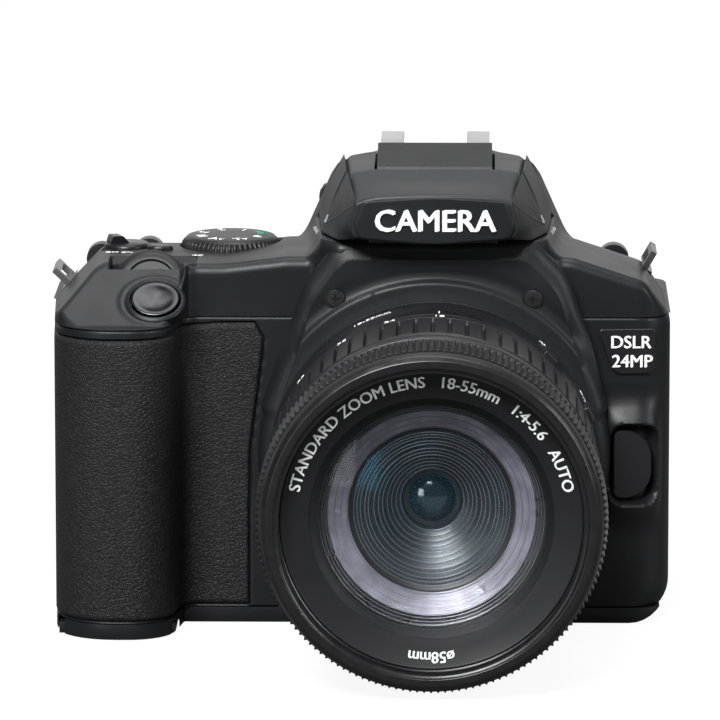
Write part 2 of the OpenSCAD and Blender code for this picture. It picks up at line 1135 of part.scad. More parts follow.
module focus_switch() {
    color("#2a2b2d")
        lens_switch(switch_angles[0]);
}

module stabiliser_switch() {
    color("#2a2b2d")
        lens_switch(switch_angles[1]);
}

module zoom_ring() {
    color("#1a1a1b")
        difference() {
            lens_ring(barrel_r + 0.3, sleeve_r + barrel_fit, zoom_front_y, zoom_rear_y);
            for (i = [0 : zoom_ribs - 1])
                translate([0, 0, axis_z])
                    rotate([0, i * 360 / zoom_ribs, 0])
                        translate([-0.5, zoom_front_y + 3, barrel_r - 0.5])
                            cube([1, zoom_rear_y - zoom_front_y - 6, 3]);
        }
}

module front_barrel() {
    color("#202123")
        union() {
            lens_ring(inner_r, 25.6, -72, zoom_front_y + 14 + zoom_travel);
            lens_ring(31.4, 25.6, -76.6, -71.9);
            lens_ring(30, 25.8, -82.2, -76.6);
            lens_ring(30, 28.7, -86.4, -82.2 - eps);
            lens_ring(lens_r, filter_r, lens_front_y, -86.4 + eps);
        }
}

module focus_ring() {
    color("#1a1a1b")
        difference() {
            lens_ring(lens_r, 30 + barrel_fit, -86.2, -76.8);
            for (i = [0 : 119])
                translate([0, 0, axis_z])
                    rotate([0, i * 3, 0])
                        translate([-0.4, -85.4, lens_r - 0.5])
                            cube([0.8, 7.8, 3]);
        }
}

module name_ring() {
    color("#26272a")
        lens_turn()
            polygon([[15.7, 44], [25.5, 44], [25.5, 54.4], [28.5, 54.4], [28.5, 57.8],
                [27.8, 57.8], [21.4, 54.6], [21.4, 52.6], [20.2, 51.5], [19.4, 50.3],
                [18.6, 49.3], [17.6, 48.4], [15.7, 47.2]]);
}

// A lens element with a flat back: rim radius, radius of its curve, and distances ahead of
// the flange of its front and back
module glass_element(r, curve, front, back) {
    lens_turn()
        polygon(concat([[0, back], [r, back]],
            [for (k = [8 : -1 : 0])
                let (a = asin(r / curve) * k / 8)
                [curve * sin(a), front - curve + curve * cos(a)]]));
}

module front_glass() {
    color("#1d3340") {
        glass_element(21.25, 68, 56.4, 52.7);
        glass_element(15.5, 40, 48.4, 44.8);
    }
}

front_cover();
rear_cover();
top_cover();
bottom_cover();
grip_rubber();
thumb_rubber();
mount_panel();
panel_screws();
side_badge();
eyecup();
strap_lugs();
hot_shoe();
tripod_socket();
body_mount_ring();
mirror_box();
focusing_screen();
pentamirror();
eyepiece_lens();
shutter_frame();
image_sensor();
main_board();
battery();
shutter_button();
main_dial();
mode_dial();
power_switch();
iso_button();
flash_head();
flash_window();
name_plate();
screen_arm();
screen_frame();
screen_glass();
terminal_door();
battery_door();
door_latch();
lens_release_button();
lens_lock_pin();
main_mirror();
sub_mirror();
shutter_curtain();
diopter_knob();
menu_button();
info_button();
live_view_button();
ae_lock_button();
focus_point_button();
set_button();
cross_keys();
play_button();
erase_button();
lens_mount_ring();
lens_barrel();
zoom_ring();
front_barrel();
name_ring();
front_glass();
focus_ring();
focus_switch();
stabiliser_switch();
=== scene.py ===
import math
import bpy
import bmesh
import numpy as np
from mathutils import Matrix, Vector


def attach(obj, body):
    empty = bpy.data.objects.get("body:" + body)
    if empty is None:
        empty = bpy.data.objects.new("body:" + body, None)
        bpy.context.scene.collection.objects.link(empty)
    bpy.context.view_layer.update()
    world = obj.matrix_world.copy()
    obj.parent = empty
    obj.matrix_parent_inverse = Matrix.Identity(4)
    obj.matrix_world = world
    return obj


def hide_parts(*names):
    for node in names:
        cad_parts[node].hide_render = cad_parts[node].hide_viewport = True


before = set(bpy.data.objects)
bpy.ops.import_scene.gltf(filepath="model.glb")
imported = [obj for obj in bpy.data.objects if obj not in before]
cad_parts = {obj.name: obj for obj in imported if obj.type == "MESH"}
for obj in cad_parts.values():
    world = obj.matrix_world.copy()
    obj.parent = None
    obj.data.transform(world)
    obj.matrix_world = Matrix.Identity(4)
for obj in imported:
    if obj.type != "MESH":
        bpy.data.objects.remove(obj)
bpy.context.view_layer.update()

mm = 0.001
print("frame loaded")

# shapes


def smoothStep(lo, hi, x):
    # 0 below lo, 1 above hi, and a smooth S between them
    t = np.clip((np.asarray(x, float) - lo) / (hi - lo), 0, 1)
    return t * t * (3 - 2 * t)


def softMax(a, b, k):
    # the larger of two heights, with a fillet about k wide where they meet
    h = np.clip(0.5 + 0.5 * (a - b) / k, 0, 1)
    return b + (a - b) * h + k * h * (1 - h)


def softMin(a, b, k):
    return -softMax(-a, -b, k)


def roundedPath(corners, closed=True, steps=10):
    # each corner (x, y, radius) becomes an arc that meets both its edges; an open path keeps its ends
    pts = np.array([c[:2] for c in corners], float)
    n = len(pts)
    out = []
    for i in range(n):
        if not closed and i in (0, n - 1):
            out.append(pts[i][None])
            continue
        a, p, b = pts[i - 1], pts[i], pts[(i + 1) % n]
        d1, d2 = (p - a) / np.linalg.norm(p - a), (b - p) / np.linalg.norm(b - p)
        n1, n2 = np.array([-d1[1], d1[0]]), np.array([-d2[1], d2[0]])
        side = 1 if d1[0] * d2[1] - d1[1] * d2[0] >= 0 else -1
        centre = p + side * corners[i][2] * (n1 + n2) / (1 + n1 @ n2)
        start = math.atan2(n1[1], n1[0])
        turn = side * math.acos(np.clip(n1 @ n2, -1, 1))
        k = start + turn * np.linspace(0, 1, steps)
        out.append(centre - side * corners[i][2] * np.stack([np.cos(k), np.sin(k)], 1))
    return np.concatenate(out)


def evenly(path, count, closed=False):
    # the same line again with equal steps along it
    p = np.concatenate([path, path[:1]]) if closed else path
    run = np.concatenate([[0], np.cumsum(np.linalg.norm(np.diff(p, axis=0), axis=1))])
    keep = np.concatenate([[True], np.diff(run) > 1e-9])
    at = np.linspace(0, run[-1], count + (1 if closed else 0))
    q = np.stack([np.interp(at, run[keep], p[keep, k]) for k in range(p.shape[1])], 1)
    return q[:-1] if closed else q


def gridFaces(rows, cols, wrapRows=False, wrapCols=False):
    r = np.arange(rows if wrapRows else rows - 1)[:, None]
    c = np.arange(cols if wrapCols else cols - 1)[None, :]
    r2, c2 = (r + 1) % rows, (c + 1) % cols
    return np.stack([r * cols + c, r * cols + c2, r2 * cols + c2, r2 * cols + c], -1).reshape(-1, 4)


def fixedVolume(points, faces):
    # turns the whole skin round if its signed volume says that it faces inwards
    a, b, c, d = (points[faces[:, k]] for k in range(4))
    volume = np.einsum("ij,ij->", a, np.cross(b, c)) + np.einsum("ij,ij->", a, np.cross(c, d))
    return faces[:, ::-1] if volume < 0 else faces


def makePiece(name, points, faces, material, body, uv=None, smooth=True):
    # points in millimetres; quads whose corners coincide at a pole lose the spare corner
    faces = fixedVolume(points, faces)
    mesh = bpy.data.meshes.new(name)
    mesh.vertices.add(len(points))
    mesh.vertices.foreach_set("co", (points * mm).astype(np.float32).ravel())
    mesh.loops.add(faces.size)
    mesh.loops.foreach_set("vertex_index", faces.astype(np.int32).ravel())
    mesh.polygons.add(len(faces))
    mesh.polygons.foreach_set("loop_start", (np.arange(len(faces)) * 4).astype(np.int32))
    mesh.polygons.foreach_set("loop_total", np.full(len(faces), 4, np.int32))
    if uv is not None:
        layer = mesh.uv_layers.new(name="around")
        layer.data.foreach_set("uv", uv[faces.ravel()].astype(np.float32).ravel())
    mesh.update()
    mesh.validate()
    piece = bpy.data.objects.new(name, mesh)
    bpy.context.scene.collection.objects.link(piece)
    finishPiece(piece, material, body, smooth)
    return piece


def finishPiece(piece, material, body, smooth=True, crease=38):
    piece.data.materials.clear()
    piece.data.materials.append(material)
    piece.modifiers.new("join", "WELD").merge_threshold = 2e-6
    if smooth:
        crisp = piece.modifiers.new("crisp edges", "NODES")
        crisp.node_group = creaseGroup(crease)
    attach(piece, body)


def closedShell(outer, inner, wrap=False):
    # two grids of the same shape, joined around their borders
    rows, cols = outer.shape[:2]
    size = rows * cols
    points = np.concatenate([outer.reshape(-1, 3), inner.reshape(-1, 3)])
    top = gridFaces(rows, cols, wrapCols=wrap)
    faces = [top, top[:, ::-1] + size]
    ids = np.arange(size).reshape(rows, cols)
    lines = [ids[0], ids[-1][::-1]]
    if not wrap:
        lines += [ids[::-1, 0], ids[:, -1]]
    for line in lines:
        ring = np.concatenate([line, line[:1]]) if wrap else line
        a, b = ring[:-1], ring[1:]
        faces.append(np.stack([b, a, a + size, b + size], 1))
    return points, np.concatenate(faces)


def turned(profile, count, ripple=None, centre=(0.0, 34.0), flange=-28.0):
    # a profile of (distance ahead of the flange, radius) turned about the lens axis;
    # ripple(angle, distance) is taken off the radius
    profile = np.asarray(profile, float)
    angle = np.linspace(0, 2 * np.pi, count, endpoint=False)[None, :]
    ahead, radius = profile[:, 0][:, None], profile[:, 1][:, None]
    cut = 0 if ripple is None else ripple(angle, ahead)
    r = radius - cut
    x = centre[0] + r * np.sin(angle)
    z = centre[1] + r * np.cos(angle)
    y = flange - ahead + 0 * angle
    return np.stack([x, y, z], -1)


def lathePiece(name, profile, material, body, count=180, ripple=None, closed=True):
    grid = turned(profile, count, ripple)
    rows, cols = grid.shape[:2]
    faces = gridFaces(rows, cols, wrapRows=closed, wrapCols=True)
    return makePiece(name, grid.reshape(-1, 3), faces, material, body)


def softProfile(corners, steps=5):
    # a closed profile whose corners (distance, radius, rounding) are eased
    return roundedPath(corners, True, steps)


def placed(points, at, tilt):
    # local z points along (0, -sin tilt, cos tilt)
    c, s = math.cos(math.radians(tilt)), math.sin(math.radians(tilt))
    x, y, z = points[..., 0], points[..., 1], points[..., 2]
    return np.stack([x + at[0], y * c - z * s + at[1], y * s + z * c + at[2]], -1)


def capPiece(name, profile, at, tilt, material, body, count=120, ripple=None, squash=(1, 1)):
    # a profile of (radius, height) turned about its own upright axis, from pole to pole
    profile = np.asarray(profile, float)
    angle = np.linspace(0, 2 * np.pi, count, endpoint=False)[None, :]
    radius, height = profile[:, 0][:, None], profile[:, 1][:, None]
    if ripple is not None:
        radius = radius - ripple(angle, height) * (radius > 1e-6)
    local = np.stack([squash[0] * radius * np.cos(angle), squash[1] * radius * np.sin(angle),
                      height + 0 * angle], -1)
    uv = np.stack([angle / (2 * np.pi) + 0 * radius, radius + 0 * angle], -1).reshape(-1, 2)
    grid = placed(local, at, tilt)
    faces = gridFaces(*grid.shape[:2], wrapCols=True)
    return makePiece(name, grid.reshape(-1, 3), faces, material, body, uv=uv)


def extruded(name, loop, x0, x1, material, body, slot, across=24, crown=None):
    # a closed side profile (y, z) carried along x between two surfaces x0(y, z) and x1(y, z),
    # and closed at both ends by a fan of rings
    loop = np.asarray(loop, float)
    f = np.linspace(0, 1, across)[:, None]
    left, right = x0(loop[:, 0], loop[:, 1])[None, :], x1(loop[:, 0], loop[:, 1])[None, :]
    x = left + (right - left) * f
    y, z = loop[None, :, 0] + 0 * f, loop[None, :, 1] + 0 * f
    if crown is not None:
        y, z = crown(x, y, z)
    body3 = np.stack([x, y, z], -1)
    middle = loop.mean(0)
    rings = []
    for side in (x0, x1):
        t = np.linspace(0.92, 0.0, 8)[:, None, None]
        p = middle + (loop - middle)[None] * t
        xe = side(p[..., 0], p[..., 1])
        cap = np.stack([xe, p[..., 0], p[..., 1]], -1)
        rings.append(cap)
    grid = np.concatenate([rings[0][::-1], body3, rings[1]])
    faces = gridFaces(*grid.shape[:2], wrapCols=True)
    piece = makePiece(name, grid.reshape(-1, 3), faces, material, body)
    return piece


# shading helpers


def creaseGroup(degrees):
    # smooth shading, broken where two faces meet at more than the given angle
    name = f"crisp edges over {degrees}"
    if name in bpy.data.node_groups:
        return bpy.data.node_groups[name]
    group = bpy.data.node_groups.new(name, "GeometryNodeTree")
    group.interface.new_socket("Mesh", in_out="INPUT", socket_type="NodeSocketGeometry")
    group.interface.new_socket("Mesh", in_out="OUTPUT", socket_type="NodeSocketGeometry")
    add = group.nodes.new
    start, end = add("NodeGroupInput"), add("NodeGroupOutput")
    angle, limit = add("GeometryNodeInputMeshEdgeAngle"), add("FunctionNodeCompare")
    limit.data_type, limit.operation = "FLOAT", "LESS_EQUAL"
    limit.inputs[1].default_value = math.radians(degrees)
    faces, edges = add("GeometryNodeSetShadeSmooth"), add("GeometryNodeSetShadeSmooth")
    faces.domain, edges.domain = "FACE", "EDGE"
    link = group.links.new
    link(start.outputs[0], faces.inputs[0])
    link(faces.outputs[0], edges.inputs[0])
    link(angle.outputs["Unsigned Angle"], limit.inputs[0])
    link(limit.outputs[0], edges.inputs["Shade Smooth"])
    link(edges.outputs[0], end.inputs[0])
    return group


def newGroup(name, inputs, outputs):
    group = bpy.data.node_groups.new(name, "ShaderNodeTree")
    for label, value in inputs.items():
        socket = group.interface.new_socket(label, in_out="INPUT", socket_type="NodeSocketFloat")
        socket.default_value = value
    for label in outputs:
        group.interface.new_socket(label, in_out="OUTPUT", socket_type="NodeSocketFloat")
    return group, group.nodes.new("NodeGroupInput"), group.nodes.new("NodeGroupOutput")


def mathNode(group, operation, a, b=None):
    node = group.nodes.new("ShaderNodeMath")
    node.operation = operation
    for k, value in enumerate((a, b)):
        if value is None:
            continue
        if isinstance(value, (int, float)):
            node.inputs[k].default_value = value
        else:
            group.links.new(value, node.inputs[k])
    return node.outputs[0]


def buildMouldGrain():
    # fine spark-eroded grain of moulded plastic, with slow tone changes and a little handling shine
    group, start, end = newGroup("mould grain", {"Grain Size": 0.35, "Patch Size": 22.0},
                                 ["Height", "Tone", "Shine"])
    where = group.nodes.new("ShaderNodeTexCoord")
    link = group.links.new
    grain, patch, streak = (group.nodes.new("ShaderNodeTexNoise") for _ in range(3))
    for node, size, detail in ((grain, "Grain Size", 2.0), (patch, "Patch Size", 3.0)):
        link(where.outputs["Object"], node.inputs["Vector"])
        link(mathNode(group, "DIVIDE", 1000.0, start.outputs[size]), node.inputs["Scale"])
        node.inputs["Detail"].default_value = detail
    link(where.outputs["Object"], streak.inputs["Vector"])
    streak.inputs["Scale"].default_value = 140.0
    streak.inputs["Detail"].default_value = 5.0
    link(grain.outputs["Fac"], end.inputs["Height"])
    link(patch.outputs["Fac"], end.inputs["Tone"])
    link(mathNode(group, "ADD", mathNode(group, "MULTIPLY", streak.outputs["Fac"], 0.6),
                  mathNode(group, "MULTIPLY", grain.outputs["Fac"], 0.4)), end.inputs["Shine"])
    return group


def buildPebbleGrain():
    # leather-like pebbles: rounded cells between narrow creases, two sizes mixed
    group, start, end = newGroup("pebble grain", {"Pebble Size": 0.85}, ["Height", "Tone", "Shine"])
    where = group.nodes.new("ShaderNodeTexCoord")
    link = group.links.new
    scale = mathNode(group, "DIVIDE", 1000.0, start.outputs["Pebble Size"])
    warp = group.nodes.new("ShaderNodeTexNoise")
    link(where.outputs["Object"], warp.inputs["Vector"])
    warp.inputs["Scale"].default_value = 600.0
    bend = group.nodes.new("ShaderNodeVectorMath")
    bend.operation = "MULTIPLY_ADD"
    link(warp.outputs["Color"], bend.inputs[0])
    bend.inputs[1].default_value = (0.0006, 0.0006, 0.0006)
    link(where.outputs["Object"], bend.inputs[2])
    big, small = (group.nodes.new("ShaderNodeTexVoronoi") for _ in range(2))
    for node, factor in ((big, 1.0), (small, 1.9)):
        node.feature = "DISTANCE_TO_EDGE"
        link(bend.outputs[0], node.inputs["Vector"])
        link(mathNode(group, "MULTIPLY", scale, factor), node.inputs["Scale"])
    crease = mathNode(group, "MINIMUM", mathNode(group, "MULTIPLY", big.outputs["Distance"], 2.6), 0.5)
    fine = mathNode(group, "MINIMUM", mathNode(group, "MULTIPLY", small.outputs["Distance"], 2.0), 0.35)
    height = mathNode(group, "ADD", crease, mathNode(group, "MULTIPLY", fine, 0.7))
    link(height, end.inputs["Height"])
    link(warp.outputs["Fac"], end.inputs["Tone"])
    link(mathNode(group, "MULTIPLY", height, 1.2), end.inputs["Shine"])
    return group


def buildTurnedMarks():
    # fine rings left by a lathe about the Y axis, and faint dust
    group, start, end = newGroup("turned marks", {"Ring Pitch": 0.25, "Centre Height": 0.034},
                                 ["Height", "Tone", "Shine"])
    where, split = group.nodes.new("ShaderNodeTexCoord"), group.nodes.new("ShaderNodeSeparateXYZ")
    link = group.links.new
    link(where.outputs["Object"], split.inputs[0])
    up = mathNode(group, "SUBTRACT", split.outputs["Z"], start.outputs["Centre Height"])
    radius = mathNode(group, "SQRT", mathNode(group, "ADD", mathNode(group, "POWER", split.outputs["X"], 2.0),
                                              mathNode(group, "POWER", up, 2.0)))
    turn = mathNode(group, "MULTIPLY", radius, mathNode(group, "DIVIDE", 6283.2, start.outputs["Ring Pitch"]))
    link(mathNode(group, "MULTIPLY_ADD", mathNode(group, "SINE", turn), 0.5), end.inputs["Height"])
    noise = group.nodes.new("ShaderNodeTexNoise")
    link(where.outputs["Object"], noise.inputs["Vector"])
    noise.inputs["Scale"].default_value = 300.0
    noise.inputs["Detail"].default_value = 6.0
    link(noise.outputs["Fac"], end.inputs["Tone"])
    link(noise.outputs["Fac"], end.inputs["Shine"])
    return group


grainGroups = {"mould": buildMouldGrain(), "pebble": buildPebbleGrain(), "turned": buildTurnedMarks()}


def finishMaterial(name, group, dark, light, rough, bump, sizes=None, metal=0.0, **sockets):
    # dark and light are the two ends of the tone; rough is the two ends of the shine;
    # bump is the depth of the grain in millimetres
    material = bpy.data.materials.new(name)
    material.use_nodes = True
    nodes, link = material.node_tree.nodes, material.node_tree.links.new
    shader = nodes["Principled BSDF"]
    grain = nodes.new("ShaderNodeGroup")
    grain.node_tree = grainGroups[group]
    for label, value in (sizes or {}).items():
        grain.inputs[label].default_value = value
    tone = nodes.new("ShaderNodeValToRGB")
    tone.color_ramp.elements[0].position, tone.color_ramp.elements[1].position = 0.3, 0.7
    tone.color_ramp.elements[0].color = (*dark, 1)
    tone.color_ramp.elements[1].color = (*light, 1)
    link(grain.outputs["Tone"], tone.inputs["Fac"])
    link(tone.outputs["Color"], shader.inputs["Base Color"])
    shine = nodes.new("ShaderNodeMapRange")
    shine.inputs["From Min"].default_value, shine.inputs["From Max"].default_value = 0.25, 0.75
    shine.inputs["To Min"].default_value, shine.inputs["To Max"].default_value = rough
    link(grain.outputs["Shine"], shine.inputs["Value"])
    link(shine.outputs["Result"], shader.inputs["Roughness"])
    relief = nodes.new("ShaderNodeBump")
    relief.inputs["Distance"].default_value = bump * mm
    relief.inputs["Strength"].default_value = 1.0
    link(grain.outputs["Height"], relief.inputs["Height"])
    link(relief.outputs["Normal"], shader.inputs["Normal"])
    shader.inputs["Metallic"].default_value = metal
    for label, value in sockets.items():
        shader.inputs[label.replace("_", " ")].default_value = value
    return material


bodyPlastic = finishMaterial("moulded body plastic", "mould", (0.008, 0.0083, 0.0095),
                             (0.0115, 0.0118, 0.0132),
                             (0.36, 0.48), 0.02, Specular_IOR_Level=0.36)
panelPlastic = finishMaterial("raised panel plastic", "mould", (0.009, 0.0095, 0.0105),
                              (0.0125, 0.013, 0.0145),
                              (0.38, 0.5), 0.02, Specular_IOR_Level=0.34)
hoodPlastic = finishMaterial("flash hood plastic", "mould", (0.014, 0.0145, 0.016), (0.019, 0.0195, 0.0215),
                             (0.42, 0.52), 0.025, Specular_IOR_Level=0.45)
gripRubber = finishMaterial("pebbled grip rubber", "pebble", (0.0075, 0.0075, 0.0085), (0.012, 0.012, 0.0135),
                            (0.46, 0.64), 0.16, Specular_IOR_Level=0.4)
ringRubber = finishMaterial("lens ring rubber", "mould", (0.008, 0.008, 0.009), (0.013, 0.013, 0.0145),
                            (0.34, 0.48), 0.015, {"Grain Size": 0.5}, Specular_IOR_Level=0.42)
lensPlastic = finishMaterial("lens barrel plastic", "turned", (0.007, 0.007, 0.0078), (0.011, 0.011, 0.012),
                             (0.24, 0.36), 0.004, {"Ring Pitch": 0.4})
nameRingPaint = finishMaterial("matte name ring paint", "mould", (0.0085, 0.0087, 0.0098),
                               (0.0115, 0.0118, 0.0132),
                               (0.46, 0.58), 0.008, {"Grain Size": 0.2}, Specular_IOR_Level=0.3)
bafflePaint = finishMaterial("grey baffle metal", "turned", (0.09, 0.09, 0.11), (0.17, 0.17, 0.205),
                             (0.3, 0.42), 0.003, {"Ring Pitch": 0.35}, 0.4)
innerBlack = finishMaterial("inner black", "turned", (0.006, 0.006, 0.007), (0.011, 0.011, 0.012),
                            (0.22, 0.36), 0.01, {"Ring Pitch": 0.9})
tubeBlack = finishMaterial("ridged tube black", "mould", (0.004, 0.004, 0.005), (0.007, 0.007, 0.008),
                           (0.3, 0.4), 0.002)
# a grey metal much lighter than the black tube it rims: it paints the highlights along the tube's ledge edges
edgeHighlightMetal = finishMaterial("fine edge metal with painted highlight", "mould", (0.10, 0.11, 0.13), (0.15, 0.16, 0.18), (0.25, 0.35),
                           0.001, None, 0.5)
controlPlastic = finishMaterial("control plastic", "mould", (0.010, 0.010, 0.0112), (0.0145, 0.0145, 0.016),
                                (0.26, 0.38), 0.006, Specular_IOR_Level=0.42)
dialPlastic = finishMaterial("dial plastic", "mould", (0.010, 0.010, 0.011), (0.015, 0.015, 0.0165),
                             (0.34, 0.46), 0.01,
                             Specular_IOR_Level=0.42)
shoeMetal = finishMaterial("shoe steel", "mould", (0.5, 0.5, 0.5), (0.6, 0.6, 0.6), (0.28, 0.42), 0.004,
                           {"Grain Size": 0.12}, 0.9)
lugMetal = finishMaterial("lug steel", "mould", (0.20, 0.20, 0.205), (0.28, 0.28, 0.285), (0.3, 0.44), 0.004,
                          {"Grain Size": 0.2}, 1.0)
mountMetal = finishMaterial("mount steel", "turned", (0.6, 0.6, 0.62), (0.7, 0.7, 0.72), (0.18, 0.3), 0.004,
                            None, 1.0)
screwBlack = finishMaterial("blackened steel", "mould", (0.07, 0.07, 0.072), (0.10, 0.10, 0.102),
                            (0.28, 0.4), 0.004,
                            {"Grain Size": 0.2}, 0.9)
markWhite = finishMaterial("white marking paint", "mould", (0.93, 0.93, 0.93), (0.97, 0.97, 0.97),
                           (0.4, 0.5), 0.003)
markGreen = finishMaterial("green marking paint", "mould", (0.02, 0.35, 0.22), (0.03, 0.42, 0.26),
                           (0.4, 0.5), 0.003)
# grey for the small plates at the notch ends: a painted highlight, not a marking
notchHighlightGrey = finishMaterial("grey painted notch highlight", "mould", (0.30, 0.30, 0.31), (0.38, 0.38, 0.39), (0.4, 0.5),
                          0.003)
screenBlack = finishMaterial("screen glass", "mould", (0.004, 0.004, 0.005), (0.006, 0.006, 0.007),
                             (0.04, 0.09),
                             0.0005, {"Patch Size": 60.0}, Coat_Weight=0.5)
batteryPlastic = finishMaterial("battery plastic", "mould", (0.03, 0.03, 0.032), (0.04, 0.04, 0.043),
                                (0.4, 0.5), 0.01)
boardGreen = finishMaterial("circuit board", "mould", (0.01, 0.10, 0.05), (0.02, 0.15, 0.07), (0.3, 0.4),
                            0.02)
mirrorSilver = finishMaterial("mirror silver", "mould", (0.75, 0.76, 0.78), (0.8, 0.81, 0.83), (0.02, 0.05),
                              0.0002,
                              None, 1.0)
spunMetal = finishMaterial("spun release metal", "mould", (0.05, 0.05, 0.052), (0.07, 0.07, 0.072),
                           (0.22, 0.28), 0.001,
                           {"Grain Size": 0.15}, 1.0, Anisotropic=0.9)
spunLines = spunMetal.node_tree.nodes.new("ShaderNodeTangent")
spunLines.direction_type, spunLines.uv_map = "UV_MAP", "around"
spunMetal.node_tree.links.new(spunLines.outputs[0],
                              spunMetal.node_tree.nodes["Principled BSDF"].inputs["Tangent"])


def glassMaterial(name, colour, rough, **sockets):
    material = finishMaterial(name, "mould", colour, tuple(min(1, c * 1.04) for c in colour), rough, 0.0002,
                              {"Grain Size": 1.5}, **sockets)
    shader = material.node_tree.nodes["Principled BSDF"]
    shader.inputs["Transmission Weight"].default_value = 1.0
    return material


clearGlass = glassMaterial("coated front glass", (0.95, 0.96, 0.98), (0.0, 0.01), IOR=1.2)
tealGlass = glassMaterial("teal coated inner glass", (0.86, 0.92, 0.95), (0.08, 0.12), IOR=1.25,
                          Specular_Tint=(0.08, 0.62, 0.95, 1.0), Specular_IOR_Level=1.0)
windowGlass = glassMaterial("ribbed flash window", (0.9, 0.92, 0.93), (0.08, 0.16), IOR=1.4)
eyeGlass = glassMaterial("eyepiece glass", (0.7, 0.78, 0.8), (0.0, 0.01), IOR=1.45)
coatedGlass = finishMaterial("teal coated glass", "mould", (0.004, 0.012, 0.016), (0.006, 0.018, 0.024),
                             (0.03, 0.07),
                             0.0001, {"Grain Size": 4.0}, 0.0, Thin_Film_Thickness=430.0, Thin_Film_IOR=1.9,
                             IOR=1.9)
print("materials made")

# outer form of the body

bodySize = {"gripEnd": -75.9, "farEnd": 46.5, "front": -20.0, "gripFront": -37.0,
            "sideY": 8.0, "gripTaper": 2.3, "seamY": 14.0, "gripCorner": 12.0, "gripInner": 9.0,
            "slopeTan": math.tan(math.radians(33.6)), "slopeEdge": 58.8}
b = bodySize
frontOutline = roundedPath([(-75.9, 0, 4), (46.5, 0, 8), (46.5, 61, 7), (41.5, 68.2, 4), (27, 73, 8),
                            (-29, 73, 5),
                            (-41, 71.6, 20), (-65.8, 71.6, 5), (-75.9, 61.1, 5)], True, 14)


def sideAt(z, right):
    # x of the body's end at a height
    side = frontOutline[frontOutline[:, 0] > 20] if right else frontOutline[frontOutline[:, 0] < -55]
    side = side[(side[:, 1] < 72)]
    order = np.argsort(side[:, 1], kind="stable")
    return np.interp(z, side[order, 1], side[order, 0])


def deckAt(x):
    top = frontOutline[(frontOutline[:, 1] > 55)]
    order = np.argsort(top[:, 0], kind="stable")
    return np.interp(x, top[order, 0], top[order, 1])


def narrowed(x, z):
    # the ends of the body draw in where its lower and upper corners are rounded
    left = (sideAt(z, False) - b["gripEnd"]) * smoothStep(-58, b["gripEnd"], x)
    right = (sideAt(z, True) - b["farEnd"]) * smoothStep(28, b["farEnd"], x)
    return x + left + right


bodyPath = evenly(roundedPath([(b["gripEnd"], b["seamY"], 0), (b["gripEnd"], b["sideY"], 9),
                               (b["gripEnd"] + b["gripTaper"], b["gripFront"], b["gripCorner"]),
                               (-52.0, b["gripFront"], b["gripInner"]), (-49.3, b["front"], 3.5),
                               (b["farEnd"], b["front"], 7), (b["farEnd"], b["seamY"], 0)], False, 14), 520)
pathStep = np.gradient(bodyPath, axis=0)
pathNormal = np.stack([pathStep[:, 1], -pathStep[:, 0]], 1) / np.linalg.norm(pathStep, axis=1)[:, None]


def wrapPoint(s, z, out):
    # a point on the wall of the body: s runs along the plan, z is the height, out is moved outwards
    idx = np.arange(len(bodyPath))
    px, py = np.interp(s, idx, bodyPath[:, 0]), np.interp(s, idx, bodyPath[:, 1])
    nx, ny = np.interp(s, idx, pathNormal[:, 0]), np.interp(s, idx, pathNormal[:, 1])
    x = narrowed(px, z) + nx * out
    return np.stack([x, py + ny * out, z + 0 * px], -1)


def pathIndex(x, y):
    return int(np.argmin((bodyPath[:, 0] - x) ** 2 + (bodyPath[:, 1] - y) ** 2))


def buildFrontCover():
    # the front cover wraps the body from its left seam round the grip to its right seam;
    # its relief is an outward shift that depends on the place along the wall and the height
    size = {"rubberDrop": 0.95, "releaseX": 39.1, "releaseZ": 32.1, "rows": 150}
    z = np.concatenate([[3.05, 3.2, 3.45], np.linspace(3.7, 60.9, size["rows"]), [61.1, 61.25]])[:, None]
    s = np.arange(len(bodyPath), dtype=float)[None, :] + 0 * z
    z = z + 0 * s
    idx = np.arange(len(bodyPath))
    x, y = np.interp(s, idx, bodyPath[:, 0]), np.interp(s, idx, bodyPath[:, 1])
    onFront = smoothStep(-47, -45, x) * smoothStep(b["front"] + 3, b["front"] + 0.5, y)
    out = np.zeros_like(x)
    # seat of the grip rubber
    end = rubberEnd(z)
    inRubber = (smoothStep(end + 0.25, end - 0.25, x) * smoothStep(3.3, 3.7, z)
                * smoothStep(rubberTop(x) + 0.2, rubberTop(x) - 0.2, z))
    inRubber = inRubber * np.where((y > 3.7) & (x < -60), 0, 1)
    out -= size["rubberDrop"] * inRubber
    # swelling above and below the lens release, with the pocket between
    dx, dz = x - size["releaseX"], z - size["releaseZ"]
    swell = np.exp(-(np.abs(dx) / 6.0) ** 3) * np.exp(-(np.abs(dz) / 11.2) ** 5)
    pocket = smoothStep(1.0, 0.0, (np.abs(dx + 0.1) / 4.3) ** 4 + (np.abs(dz) / 7.5) ** 4 - 0.55)
    out += onFront * (2.3 * swell - 3.4 * pocket)
    # hollow beside the badge
    out -= onFront * 0.5 * np.exp(-((x - 38) / 9) ** 2) * smoothStep(49, 45, z) * smoothStep(40, 44, z)
    # door recess on the far side
    side = smoothStep(44.5, 45.5, x)
    door = (side * smoothStep(9.5, 9.2, y) * smoothStep(-10.3, -10.0, y)
            * smoothStep(17.5, 17.8, z) * smoothStep(50.5, 50.2, z))
    out -= 1.6 * door
    # rolled lips at the seams
    out -= 0.35 * smoothStep(60.95, 61.3, z) + 0.35 * smoothStep(3.4, 3.05, z)
    outer = wrapPoint(s, z, out)
    inner = wrapPoint(s, np.clip(z, 3.2, 61.1), np.minimum(out, 0) * 0.0 - 3.6)
    points, faces = closedShell(outer, inner)
    piece = makePiece("frontCoverShell", points, faces, bodyPlastic, "camera")
    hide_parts("front_cover")


def rubberTop(x):
    return 59.4 + 0.8 * smoothStep(-58, -38, x)


def rubberEnd(z):
    return np.interp(z, [3, 20, 34.6, 54, 57, 60.5], [-36.3, -36.3, -36.1, -33.6, -33.4, -35.4])


